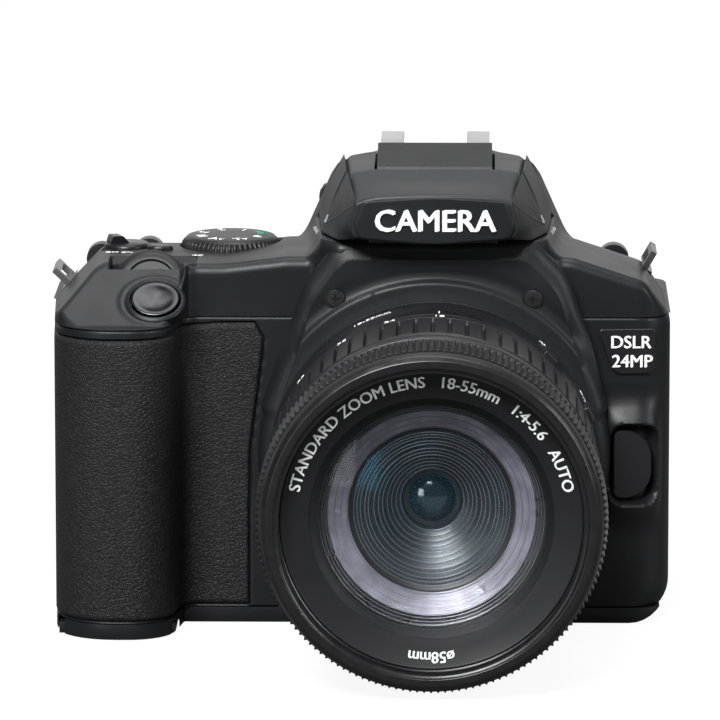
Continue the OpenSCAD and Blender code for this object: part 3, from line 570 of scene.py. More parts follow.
def buildGripRubber():
    # the rubber lies flush in its seat, with a narrow groove all round
    size = {"rows": 130, "cols": 300, "proud": 0.12, "edge": 0.8}
    v = np.linspace(0, 1, size["rows"])[:, None]
    u = np.linspace(0, 1, size["cols"])[None, :]
    first = pathIndex(b["gripEnd"], 3.5)
    idx = np.arange(len(bodyPath))
    last = pathIndex(-33, b["front"])
    xs = bodyPath[:, 0]
    valley = pathIndex(-46, b["front"])
    s = first + (last - first) * u + 0 * v
    z = 3.6 + (rubberTop(np.interp(s, idx, xs)) - 0.15 - 3.6) * v
    endS = np.interp(rubberEnd(z) - 0.15, xs[valley:last + 40], idx[valley:last + 40])
    s = first + (endS - first) * u
    z = 3.6 + (rubberTop(np.interp(s, idx, xs)) - 0.15 - 3.6) * v
    border = np.minimum(np.minimum(v, 1 - v) * 56, np.minimum(u, 1 - u) * 110)
    out = size["proud"] - 0.55 * (1 - np.clip(border / size["edge"], 0, 1)) ** 2
    outer = wrapPoint(s, z, out)
    inner = wrapPoint(s, z, 0 * out - 0.9)
    points, faces = closedShell(outer, inner)
    piece = makePiece("gripRubberSkin", points, faces, gripRubber, "camera")
    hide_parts("grip_rubber")


hood = {"wellFront": -13.8, "hingeY": 8.0, "troughEnd": 14.4, "armInner": 11.4}


def prismHalf(y, z):
    # half-width of the viewfinder housing at a depth and height: it narrows towards its front
    low = np.interp(y, [-31, -27, -14, 8, 30], [16.0, 17.7, 21.8, 23.05, 23.1])
    crease, creaseZ = creaseAt(y), prismTop(y)
    f = np.clip((z - 78.5) / np.maximum(creaseZ - 78.5, 1), -0.6, 1.2)
    return low + (crease - low) * f + 0.3 * np.sin(np.pi * np.clip(f, 0, 1))


def creaseAt(y):
    return np.interp(y, [-31, -14, 8, 30], [15.0, 17.05, 17.95, 18.0])


def prismTop(y):
    return np.interp(y, [-31, -14, -13.9, 8, 14.3, 19, 27], [86.5, 89.9, 90.0, 90.0, 88.6, 87.6, 84.5])


def crowned(x):
    # the top of the housing falls away to both sides of the accessory shoe
    return 1.2 * np.clip((np.abs(x) - 11) / 7.1, 0, 1.2) ** 1.3


def buildTopCover():
    # a height over the plan: deck, shoulder slope and viewfinder housing joined by fillets,
    # and walls down to the seam in front and behind
    size = {"bottom": 61.35}
    steps = [-11.45, -11.3, 11.3, 11.45, -53.2, -43.2, 9.9, -9.9]
    x = np.unique(np.concatenate([np.linspace(-75.9, -72.5, 34), np.linspace(-72.4, -66, 18),
                                  np.linspace(-66, -52, 60), np.linspace(-52, -46, 40),
                                  np.linspace(-46, -30, 60), np.linspace(-30, -10, 70),
                                  np.linspace(-10, 10, 24),
                                  np.linspace(10, 30, 70), np.linspace(30, 46.5, 50), steps]))
    plan = bodyPath[bodyPath[:, 1] < 0]
    frontX, order = np.unique(np.round(plan[:, 0], 4), return_index=True)
    frontY = plan[order, 1]
    yFront = np.interp(x, frontX, frontY)
    valley = (x > -50.5) & (x < -48.2)
    yFront = np.where(valley, np.interp(x, [-50.5, -48.2], [np.interp(-50.5, frontX, frontY),
                                                            np.interp(-48.2, frontX, frontY)]), yFront)
    yFront = yFront - 4.2 * smoothStep(24.5, 18.0, np.abs(x))
    rear = roundedPath([(46.5, 10, 0), (46.5, 27, 6), (-75.9, 27, 7), (-75.9, 10, 0)], False, 14)
    o = np.argsort(rear[:, 0], kind="stable")
    yRear = np.interp(x, rear[o, 0], rear[o, 1])
    # rows keep the same depth from end to end, except near the front and rear walls
    first, last = -17.9, 19.3
    steady = np.unique(np.concatenate([np.linspace(first, last, 110),
                                       [-13.86, -13.74, -0.33, -0.27, 7.97, 8.03, 14.37, 14.43,
                                                                      18.77, 18.83]]))
    begin = np.maximum(first, yFront + 1.5)
    v = np.unique(np.concatenate([np.linspace(0, 1, 52), np.linspace(0, 0.14, 12)]))[:-1, None]
    front = yFront[None, :] + (begin - yFront)[None, :] * v
    middle = begin[None, :] + (last - begin)[None, :] * ((steady[:, None] - first) / (last - first))
    w = np.unique(np.concatenate([np.linspace(0, 1, 22), np.linspace(0.7, 1, 10)]))[1:, None]
    back = last + (yRear - last)[None, :] * w
    Y = np.concatenate([front, middle, back])
    X = x[None, :] + 0 * Y
    Z = topHeight(X, Y)
    # ease the edges over the front and rear walls
    gap = np.minimum(Y - yFront[None, :], yRear[None, :] - Y)
    r = np.where(Y < 0, 2.2, 2.0)
    ease = np.where(gap < r, r - np.sqrt(np.maximum(r * r - (r - gap) ** 2, 0)), 0)
    Z = Z - np.minimum(ease, np.maximum(Z - size["bottom"] - 0.2, 0))
    Z = np.maximum(Z, size["bottom"] + 0.15)
    wall = np.linspace(0, 1, 12)[1:, None]
    frontWall = np.stack([X[:1] + 0 * wall, Y[:1] + 0 * wall, Z[:1] + (size["bottom"] - Z[:1]) * wall], -1)
    rearWall = np.stack([X[-1:] + 0 * wall, Y[-1:] + 0 * wall, Z[-1:] + (size["bottom"] - Z[-1:]) * wall], -1)
    grid = np.concatenate([frontWall[::-1], np.stack([X, Y, Z], -1), rearWall])
    base = grid.copy()
    base[..., 2] = size["bottom"]
    points, faces = closedShell(grid, base)
    piece = makePiece("topCoverShell", points, faces, bodyPlastic, "camera")
    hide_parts("top_cover")


def disc(X, Y, cx, cy, r, edge=0.25):
    return smoothStep(r + edge, r - edge, np.hypot(X - cx, Y - cy))


def topHeight(X, Y):
    # the deck falls away behind the dials
    fall = Y - 7.0
    deck = deckAt(X) - 0.17 * (fall + np.sqrt(fall ** 2 + 4)) / 2
    slope = b["slopeEdge"] + (Y - b["gripFront"]) * b["slopeTan"]
    slope = slope + 30 * smoothStep(-50, -43, X)
    # the shoulder slope stops at a crisp edge under the flat plate
    Z = softMin(deck, slope, 1.2)
    # seat of the shutter button
    d = np.hypot((X + 54.4), (Y + 27) / math.cos(math.radians(33.6)))
    Z = Z - 1.0 * smoothStep(5.9, 5.2, d) + 0.25 * np.exp(-((d - 6.6) / 0.7) ** 2) * (X < -46)
    # housing
    prism = prismTop(Y) - crowned(X)
    flank = 90.0 - 2.25 * (np.abs(X) - creaseAt(Y))
    housing = softMin(prism, flank, 1.0)
    Z = softMax(Z, housing, 3.2)
    # open well of the flash head
    underArm = np.abs(X) > hood["armInner"]
    inWell = (Y < hood["wellFront"]) | (underArm & (Y < hood["hingeY"]))
    trough = underArm & (Y >= hood["hingeY"]) & (Y < hood["troughEnd"])
    Z = np.where(inWell & (Z > 76.9), 76.9, Z)
    arc = 84 - np.sqrt(np.maximum(6.35 ** 2 - (Y - 8) ** 2, 0))
    Z = np.where(trough & (Z > 77.6), np.minimum(Z, np.maximum(arc, 77.6)), Z)
    # ramp ahead of the accessory shoe, and the shoe's own bed
    ramp = np.minimum(90.0 + 3.0 * (Y + 13.8) / 13.6, 84 + np.sqrt(np.maximum(21.9 ** 2 - (Y - 8) ** 2, 0)))
    Z = np.where((np.abs(X) < 11.35) & (Y >= -13.8) & (Y <= -0.3), ramp, Z)
    Z = np.where((np.abs(X) < 11.35) & (Y > -0.3) & (Y < 18.8), 88.0, Z)
    # seats of the dials, the switch and the button
    Z = Z - 1.3 * disc(X, Y, -40.7, 5, 10.1)
    Z = Z - 1.0 * disc(X, Y, -61.4, 2.5, 4.9)
    well = smoothStep(8.7, 8.2, np.abs(X + 55.4)) * smoothStep(-19.3, -18.9, Y) * smoothStep(-9.6, -10.2, Y)
    Z = np.where(well > 0, Z + (np.minimum(Z, 70.0) - Z) * well, Z)
    slot = smoothStep(8.1, 7.8, np.abs(X + 55.7)) * smoothStep(-18.6, -18.2, Y) * smoothStep(-11.4, -11.8, Y)
    Z = Z - 4.0 * slot
    return Z


buildFrontCover()
buildGripRubber()
buildTopCover()
print("covers built")

# flash hood and name plate


def bowed(x, y, z):
    # the edges of the nose bow towards the middle, and the top falls away to both sides
    t = np.clip(np.abs(x) / 14.5, 0, 1)
    front = smoothStep(-20, -31, y)
    up = smoothStep(80, 85, z) * 0.8 * (1 - t ** 2) * front
    down = smoothStep(82, 79, z) * 1.0 * (1 - t ** 2) * front
    # the long edge between the top and the flank is eased
    ease = 0.8 * np.clip(1 - (prismHalf(y, z) - np.abs(x)) / 1.4, 0, 1) ** 2 * smoothStep(85, 89, z)
    return y - 0.6 * (1 - t ** 2) * front, z + up - down - ease - crowned(x) * smoothStep(80, 87, z)


def buildFlashHood():
    def right(y, z):
        return prismHalf(y, z) - 1.3 * smoothStep(80.2, 77.2, z) * smoothStep(-22, -30, y)

    def left(y, z):
        return -right(y, z)

    nose = evenly(roundedPath([(-31.0, 78.7, 0.6), (-24, 77.3, 3), (-14.25, 77.3, 0.2), (-14.25, 89.85, 0.2),
                               (-30.9, 86.45, 0.7)], True, 6), 150, True)
    piece = extruded("flashHoodNose", nose, left, right, hoodPlastic, "flash", "flash_plastic", 64, bowed)
    addBevel(piece, 0.45)
    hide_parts("flash_head")
    turn = np.linspace(-90, 90, 26)
    arc = np.stack([8 + 6 * np.cos(np.radians(turn)), 84 + 6 * np.sin(np.radians(turn))], 1)
    arm = evenly(np.concatenate([[[-14.2, 77.35]], [[-2, 77.5]], arc, [[-14.2, 89.85]]]), 120, True)
    for label, ends in (("Right", (lambda y, z: 11.8 + 0 * y, right)),
                        ("Left", (left, lambda y, z: -11.8 + 0 * y))):
        piece = extruded("flashHoodArm" + label, arm, *ends, hoodPlastic, "flash", "flash_plastic", 20, bowed)
        addBevel(piece, 0.35)
    for label, side in (("Right", 1), ("Left", -1)):
        buildSeam(label, side, right)
        # bright ends of the release notch on the seam, drawn as small grey plates: a painted highlight
        for k, (x, y, z, lean) in enumerate(((21.1, -14.3, 79.9, 25), (23.3, -10.8, 77.0, -30))):
            buildTick(f"seamTick{label}{k}", (side * x, y, z), side * lean)


def buildSeam(label, side, half):
    # a dark line sunk in the flank, from the top corner of the nose down to the notch
    run = np.linspace(0, 1, 60)
    y = np.interp(run, [0, 1], [-30.4, -13.6])
    z = np.interp(y, [-30.4, -24, -13.6], [85.4, 82.8, 78.6])
    normal = np.array([0.93 * side, -0.2, 0.3])
    across = np.array([0.0, 0.55, 0.83]) * 0.16
    middle = np.stack([side * half(y, z), y, z], 1) + normal * 0.02
    ring = [middle + across, middle + normal * 0.05, middle - across, middle - normal * 0.5]
    grid = np.stack(ring, 1)
    caps = np.repeat(grid.mean(1, keepdims=True)[[0, -1]], 4, axis=1)
    grid = np.concatenate([caps[:1], grid, caps[1:]])
    makePiece("hoodSeam" + label, grid.reshape(-1, 3), gridFaces(*grid.shape[:2], wrapCols=True),
              innerBlack, "flash")


def buildTick(name, at, lean):
    # a small grey bar on the flank: a painted highlight
    bar = evenly(roundedPath([(-0.35, -0.8, 0.15), (0.35, -0.8, 0.15), (0.35, 0.8, 0.15),
                              (-0.35, 0.8, 0.15)], True, 4), 40, True)
    a = math.radians(lean)
    bar = np.stack([bar[:, 0] * math.cos(a) - bar[:, 1] * math.sin(a),
                    bar[:, 0] * math.sin(a) + bar[:, 1] * math.cos(a)], 1)
    plateShell(name, bar + np.array([at[0], at[2]]), at[1], 0.5, notchHighlightGrey, "camera", rings=4)


def addBevel(piece, width, segments=3, angle=32):
    # rounds the crisp edges before the shading is split
    bevel = piece.modifiers.new("eased edges", "BEVEL")
    bevel.width, bevel.segments, bevel.limit_method = width * mm, segments, "ANGLE"
    bevel.angle_limit = math.radians(angle)
    bevel.use_clamp_overlap = True
    bevel.harden_normals = False
    order = [m.name for m in piece.modifiers]
    piece.modifiers.move(order.index("eased edges"), 1)


def plateShell(name, outline, yBack, depth, material, body, bow=0.0, rings=14, lean=0.0):
    # a thin plate on a front face: its outline (x, z) shrinks to the middle in rings, its front bows
    outline = np.asarray(outline, float)
    middle = outline.mean(0)
    t = np.concatenate([[1.0, 1.0, 0.985, 0.96], np.linspace(0.93, 0.0, rings)])[:, None]
    lift = np.concatenate([[0.0, 0.7, 0.92, 1.0], np.ones(rings)])[:, None]
    pts = middle + (outline - middle)[None] * t[..., None]
    half = np.abs(outline[:, 0]).max()
    bowed = bow * (1 - (pts[..., 0] / half) ** 2)
    y = yBack - depth * lift - bowed + lean * (pts[..., 1] - middle[1])
    front = np.stack([pts[..., 0], y, pts[..., 1]], -1)
    back = front.copy()
    back[..., 1] = yBack + 0.2 - bowed + lean * (pts[..., 1] - middle[1])
    grid = np.concatenate([back[::-1], front[1:]])
    return makePiece(name, grid.reshape(-1, 3), gridFaces(*grid.shape[:2], wrapCols=True), material, body)


def letters(name, text, size, at, material, body, tilt=90.0, spin=0.0, thick=0.12, bend=None,
            weight=0.0):
    # plain letters made a mesh: x to the right, y up the letter, then stood up or bent onto the lens
    curve = bpy.data.curves.new(name, "FONT")
    curve.body, curve.size, curve.align_x, curve.align_y = text, size, "CENTER", "CENTER"
    curve.extrude, curve.resolution_u = thick / 2, 3
    shape = bpy.data.objects.new(name + "Curve", curve)
    bpy.context.scene.collection.objects.link(shape)
    bpy.context.view_layer.update()
    mesh = bpy.data.meshes.new_from_object(shape.evaluated_get(bpy.context.evaluated_depsgraph_get()))
    bpy.data.objects.remove(shape)
    mesh.name = name
    co = np.zeros(len(mesh.vertices) * 3, np.float32)
    mesh.vertices.foreach_get("co", co)
    p = co.reshape(-1, 3).astype(float)
    if weight:
        # bolder strokes: a second copy of the outline lies a hair to the right, a hair deeper
        count, shift = len(p), np.array([weight, weight * 0.4, -0.01])
        twin = mesh.copy()
        both = bpy.data.meshes.new(name)
        grown = bmesh.new()
        grown.from_mesh(mesh)
        grown.from_mesh(twin)
        grown.to_mesh(both)
        grown.free()
        p = np.concatenate([p - shift / 2, p + shift / 2])
        assert len(both.vertices) == 2 * count
        mesh = both
    if bend is None:
        a, t = math.radians(spin), math.radians(tilt)
        x, y, z = (p[:, 0] * math.cos(a) - p[:, 1] * math.sin(a),
                   p[:, 0] * math.sin(a) + p[:, 1] * math.cos(a), p[:, 2])
        p = np.stack([x, y * math.cos(t) - z * math.sin(t),
                      y * math.sin(t) + z * math.cos(t)], 1) + np.array(at)
    else:
        p = bend(p)
    mesh.vertices.foreach_set("co", (p * mm).astype(np.float32).ravel())
    mesh.update()
    piece = bpy.data.objects.new(name, mesh)
    bpy.context.scene.collection.objects.link(piece)
    finishPiece(piece, material, body, smooth=False)
    return piece


def buildNamePlate():
    plate = roundedPath([(-14.6, 78.9, 1.2), (0, 77.8, 40), (14.6, 78.9, 1.2), (15.7, 81.2, 1.6),
                         (13.9, 86.0, 0.9),
                         (0, 87.0, 45), (-13.9, 86.0, 0.9), (-15.7, 81.2, 1.6)], True, 8)
    piece = plateShell("namePlateFace", evenly(plate, 200, True), -31.35, 0.55, panelPlastic, "flash",
                       0.7)
    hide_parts("name_plate")
    return letters("namePlateWord", "CAMERA", 6.0, (0.2, -32.6, 82.2), markWhite, "flash",
                   thick=0.5,
                   weight=0.34)


buildFlashHood()
buildNamePlate()
print("flash hood built")

# raised panel behind the lens


def buildMountPanel():
    size = {"axis": 34.0, "back": -19.9, "bore": 31.4, "count": 360}
    outline = evenly(roundedPath([(-33.9, 44, 3), (-24, 5, 12), (24, 5, 12), (34.1, 44, 3),
                                  (30.8, 56.8, 10), (26.2, 70, 12),
                                  (19.6, 77.0, 4), (-19.0, 77.0, 4), (-25.5, 68, 12), (-29.5, 56.7, 10)],
                                 True, 10),
                     900, True)
    angle = np.arctan2(outline[:, 0], outline[:, 1] - size["axis"])
    order = np.argsort(angle)
    theta = np.linspace(-np.pi, np.pi, size["count"], endpoint=False)
    reach = np.interp(theta, angle[order], np.hypot(outline[order, 0], outline[order, 1] - size["axis"]),
                      period=2 * np.pi)
    reach = np.maximum(reach, 34.6)
    inner = size["bore"]
    # rings close to the outline keep a fixed width, so the sloping border is even all round
    border = np.array([0, 0, 0.5, 1.2, 2.2, 3.2])[:, None]
    radius = reach[None] - border * np.ones_like(reach)[None]
    rest = reach[None] - 3.2 + (inner - (reach[None] - 3.2)) * np.linspace(0, 1, 27)[1:, None]
    rest = np.maximum(rest, inner)
    radius = np.concatenate([np.maximum(radius, inner), rest, np.full((1, len(theta)), inner)])
    depth = np.concatenate([[0, 2.6, 3.3, 3.9, 4.4, 4.7], np.full(27, 5.0)])
    y = size["back"] - depth[:, None] * np.ones_like(reach)[None]
    # the collar round the mount stands forward, with a soft dip outside it
    y = (y - 1.0 * smoothStep(35.9, 34.7, radius) * (depth[:, None] > 3)
         + 0.35 * np.exp(-((radius - 37.2) / 1.2) ** 2) * (depth[:, None] > 3))
    y[-1] = size["back"]
    x = radius * np.sin(theta)[None]
    z = size["axis"] + radius * np.cos(theta)[None]
    grid = np.stack([x, y, z], -1)
    faces = gridFaces(*grid.shape[:2], wrapRows=True, wrapCols=True)
    piece = makePiece("mountPanelFace", grid.reshape(-1, 3), faces, panelPlastic, "camera")
    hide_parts("mount_panel")
    for k, sx in enumerate((-19.3, 19.3)):
        buildScrew(k, (sx, -24.9, 65.8))


def buildScrew(k, at):
    # the black seat shows as a thin ring round the head: painted shade of the groove round the screw
    seat = [(0, -0.4), (2.05, -0.4), (2.05, 0.03), (1.9, 0.06), (0, 0.05)]
    capPiece(f"screwGrooveShade{k}", seat, at, 90, innerBlack, "camera", 48)
    head = [(0, -0.2), (1.7, -0.2), (1.72, 0.1), (1.6, 0.22), (0.95, 0.26), (0.0, 0.27)]
    piece = capPiece(f"screwHead{k}", head, at, 90, screwBlack, "camera", 48)
    # the cross is drawn as black bars on the head: painted shade of its recess
    for a in (0, 90):
        bar = [(0, 0.1), (1.0, 0.1), (1.0, 0.285), (0, 0.29)]
        capPiece(f"screwCrossShade{k}x{a}", bar, at, 90, innerBlack, "camera", 32,
                 squash=(1.0, 0.2) if a == 0 else (0.2, 1.0))
    if k == 0:
        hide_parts("panel_screws")


buildMountPanel()
print("mount panel built")

# lens


def ribs(count, depth, share, lo, hi, soft=0.6):
    # narrow grooves between wide ribs, fading at both ends of the band lo..hi
    def ripple(angle, ahead):
        phase = (angle * count / (2 * np.pi)) % 1.0
        groove = smoothStep(share, share * 0.45, np.minimum(phase, 1 - phase))
        return depth * groove * smoothStep(lo, lo + soft, ahead) * smoothStep(hi, hi - soft, ahead)
    return ripple


def teeth(count, depth, lo, hi, soft=0.5):
    # pointed teeth: the radius falls and rises evenly between two points
    def ripple(angle, ahead):
        phase = (angle * count / (2 * np.pi)) % 1.0
        return (depth * (1 - np.abs(2 * phase - 1)) * smoothStep(lo, lo + soft, ahead)
                * smoothStep(hi, hi - soft, ahead))
    return ripple


def dense(profile, step=0.5):
    # extra points along a closed profile so that ribs can start and stop on it
    p = np.concatenate([profile, profile[:1]])
    out = []
    for a, c in zip(p[:-1], p[1:]):
        n = max(1, int(np.linalg.norm(c - a) / step))
        out.append(a + (c - a) * np.linspace(0, 1, n, endpoint=False)[:, None])
    return np.concatenate(out)


def buildLens():
    barrel = softProfile([(1.7, 27.9, 0.1), (1.7, 31.6, 0.3), (3.2, 31.6, 0.3), (3.4, 32.2, 0.3),
                          (16.9, 32.2, 0.3),
                          (16.9, 27.9, 0.1)], 4)
    piece = lathePiece("lensRearBarrel", barrel, lensPlastic, "camera", 200)
    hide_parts("lens_barrel")
    sleeve = softProfile([(15.0, 27.75, 0.05), (15.0, 29.3, 0.05), (39.8, 29.3, 0.2), (39.8, 27.75, 0.2)], 3)
    lathePiece("lensGuideSleeve", sleeve, lensPlastic, "camera", 120)
    # zoom ring
    zoom = {"ribs": 62, "depth": 0.75, "share": 0.13}
    band = dense(softProfile([(17.4, 29.6, 0.1), (17.4, 32.3, 0.4), (21.3, 32.4, 0.1), (21.9, 32.0, 0.1),
                              (22.4, 32.5, 0.1),
                              (38.6, 32.5, 0.1), (39.1, 32.0, 0.1), (39.7, 32.3, 0.1), (41.9, 32.2, 0.5),
                              (41.9, 29.6, 0.1)], 4), 0.8)
    piece = lathePiece("zoomRingGrip", band, ringRubber, "zoom_ring", zoom["ribs"] * 14,
                       ribs(zoom["ribs"], zoom["depth"], zoom["share"], 22.4, 38.6))
    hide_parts("zoom_ring")
    # front barrel: skirt, core and the front ring with the filter thread
    skirt = softProfile([(36.0, 26.0, 0.1), (36.0, 27.5, 0.1), (43.9, 27.5, 0.05), (44.0, 31.6, 0.4),
                         (48.5, 31.6, 0.4),
                         (48.6, 29.9, 0.1), (58.3, 29.9, 0.1), (58.4, 32.35, 0.25), (59.7, 32.4, 0.3),
                         (61.0, 31.9, 0.5),
                         (61.75, 31.1, 0.35), (61.8, 29.6, 0.3)], 4)
    thread = np.stack([np.repeat(np.linspace(61.2, 58.6, 9), 2)[:-1], np.tile([29.0, 28.75], 9)[:-1]], 1)
    skirt = np.concatenate([skirt, thread, [[58.3, 28.6], [54.3, 28.6], [54.2, 26.0]]])
    piece = lathePiece("frontBarrelShell", skirt, lensPlastic, "front_barrel", 240)
    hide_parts("front_barrel")
    # focus ring
    knurl = dense(softProfile([(48.9, 30.1, 0.1), (48.9, 32.6, 0.3), (49.6, 33.2, 0.2), (57.6, 33.25, 0.2),
                               (58.2, 32.8, 0.2),
                               (58.2, 30.1, 0.1)], 4), 0.7)
    piece = lathePiece("focusRingGrip", knurl, ringRubber, "focus_ring", 156 * 6,
                       teeth(156, 0.85, 49.6, 58.4))
    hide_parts("focus_ring")
    # name ring and the stepped baffle inside it
    annulus = [(57.9, 28.5), (57.95, 28.3), (57.7, 27.9), (56.9, 24.9), (56.3, 23.1), (55.9, 22.9),
               (55.7, 22.5), (55.3, 22.3),
               (55.1, 21.9), (54.7, 21.7), (54.6, 21.45), (52.6, 21.4), (52.6, 25.6), (54.5, 25.7),
               (54.5, 28.5)]
    piece = lathePiece("nameRingFace", annulus, nameRingPaint, "front_barrel", 240)
    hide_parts("name_ring")
    outerStair = [(52.5, 21.3), (52.3, 20.95), (51.7, 20.9), (51.6, 20.3), (51.0, 20.25), (50.9, 19.7),
                  (50.4, 19.6), (50.4, 25.0),
                  (52.5, 25.0)]
    stair = [(50.3, 19.55)]
    for k in range(9):
        # fine steps, each a wall and a ledge
        stair += [(50.1 - 0.3 * k, 19.35 - 0.42 * k), (49.95 - 0.3 * k, 19.3 - 0.42 * k)]
    stair += [(47.3, 15.75), (47.0, 15.5), (46.6, 15.6), (46.6, 25.0), (50.3, 25.0)]

    def notches(angle, ahead):
        near = sum(np.exp(-(((angle - math.radians(a) + np.pi) % (2 * np.pi) - np.pi) / 0.035) ** 4)
                   for a in (28, 148, 272))
        return -0.5 * near * ((ahead > 48.2) & (ahead < 49.5))

    lathePiece("baffleRim", outerStair, lensPlastic, "front_barrel", 200)
    lathePiece("baffleSteps", stair, bafflePaint, "front_barrel", 360, notches)
    ledges = [(46.2, 14.4), (45.6, 13.7), (45.0, 13.0), (44.3, 12.1), (43.8, 11.4), (42.9, 10.3),
              (42.0, 9.4), (41.2, 8.6),
              (40.2, 7.7), (39.4, 6.9), (38.6, 6.1), (37.8, 5.3)]
    tube = [(47.0, 15.5), (46.5, 15.3)]
    for a, r in ledges:
        tube += [(a + 0.15, r + 0.5), (a, r), (a - 0.45, r)]
    tube += [(36.6, 4.7), (36.4, 0.0), (35.9, 0.0), (35.9, 20.0), (46.4, 25.0), (46.4, 15.6)]
    # each ledge ends in a fine rounded edge, made in a lighter grey metal than the black tube so that it
    # shows as a bright line: a painted highlight on top of the light it catches
    rims = [(52.4, 21.2), (51.68, 20.6), (50.98, 20.0), (50.38, 19.5), (49.2, 18.1), (48.3, 16.85),
            (47.25, 15.7)]
    for k, (a, r) in enumerate(ledges + rims):
        turn = np.radians(np.arange(0, 360, 60))
        bead = [(a + 0.02 + 0.08 * math.cos(t), r + 0.08 * math.sin(t)) for t in turn]
        lathePiece(f"tubeEdge{k}", bead, edgeHighlightMetal, "front_barrel", 120)
    lathePiece("innerTube", tube, tubeBlack, "front_barrel", 200)

    def element(name, r, apex, base, material, body="front_barrel", curve=None):
        # a lens element: a spherical cap over a flat back, pole to pole
        R = curve
        top = math.asin(r / R)
        a = np.linspace(0, top, 26)
        cap = np.stack([apex - R + R * np.cos(a), R * np.sin(a)], 1)
        back = np.stack([np.full(10, base), np.linspace(r, 0, 10)], 1)
        profile = np.concatenate([cap, back])
        grid = turned(profile, 180)
        piece = makePiece(name, grid.reshape(-1, 3), gridFaces(*grid.shape[:2], wrapCols=True), material,
                          body)
        piece.visible_shadow = False
        return piece

    outer = element("frontGlassDome", 21.25, 56.4, 52.7, clearGlass, curve=68.0)
    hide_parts("front_glass")
    element("innerGlass", 15.3, 49.35, 46.25, tealGlass, curve=40.0)
    element("deepGlass", 4.4, 38.3, 36.2, coatedGlass, curve=5.4)
    print("lens turned")


def onRing(radius, centreAngle, ahead, lean=0.0, flip=False):
    # bends a line of letters round the lens axis on a flat ring that faces forwards
    def bend(p):
        s = -1.0 if flip else 1.0
        r = radius + p[:, 1] * s
        a = math.radians(centreAngle) + s * p[:, 0] / radius
        return np.stack([r * np.sin(a), -28.0 - (ahead + lean * (r - radius)) - p[:, 2],
                         34.0 + r * np.cos(a)], 1)
    return bend


def onBarrel(radius, centreAngle, ahead):
    # wraps letters round the outside of the barrel, read from the front and above
    def bend(p):
        a = math.radians(centreAngle) + p[:, 0] / radius
        r = radius + p[:, 2]
        return np.stack([r * np.sin(a), -28.0 - (ahead - p[:, 1]), 34.0 + r * np.cos(a)], 1)
    return bend


def buildLensMarks():
    slope = (57.7 - 56.9) / 3.0
    letters("lensRingWords", "STANDARD ZOOM LENS   18-55mm   1:4-5.6   AUTO", 3.1, None, markWhite,
            "front_barrel",
            bend=onRing(26.25, 0, 57.32, slope), thick=0.12, weight=0.13)
    letters("lensRingSize", "ø58mm", 2.9, None, markWhite, "front_barrel",
            bend=onRing(26.25, 180, 57.27, slope), thick=0.12, weight=0.12)
    for text, a in (("18", 2), ("24", -15), ("35", -33), ("55", -52)):
        letters("focalLength" + text, text, 2.3, None, markWhite, "zoom_ring",
                bend=onBarrel(32.36, a, 19.6), thick=0.1)
    letters("barrelWords", "18-55mm", 2.1, None, markWhite, "camera",
            bend=onBarrel(32.22, -22, 8.5), thick=0.1)
    letters("barrelMark", "I", 2.8, None, markWhite, "camera",
            bend=onBarrel(32.22, 2, 14.6), thick=0.1)
    letters("switchWordsFocus", "AF  MF", 1.7, None, markWhite, "camera",
            bend=onBarrel(32.22, 44, 3.9), thick=0.1)
    letters("switchWordsStill", "ON  OFF", 1.7, None, markWhite, "camera",
            bend=onBarrel(32.22, 68, 3.9), thick=0.1)


buildLens()
buildLensMarks()
print("lens built")

# controls


def knurlRipple(count, depth, lo, hi):
    def ripple(angle, height):
        phase = (angle * count / (2 * np.pi)) % 1.0
        return (depth * smoothStep(0.32, 0.12, np.minimum(phase, 1 - phase))
                * smoothStep(lo, lo + 0.2, height) * smoothStep(hi, hi - 0.2, height))
    return ripple


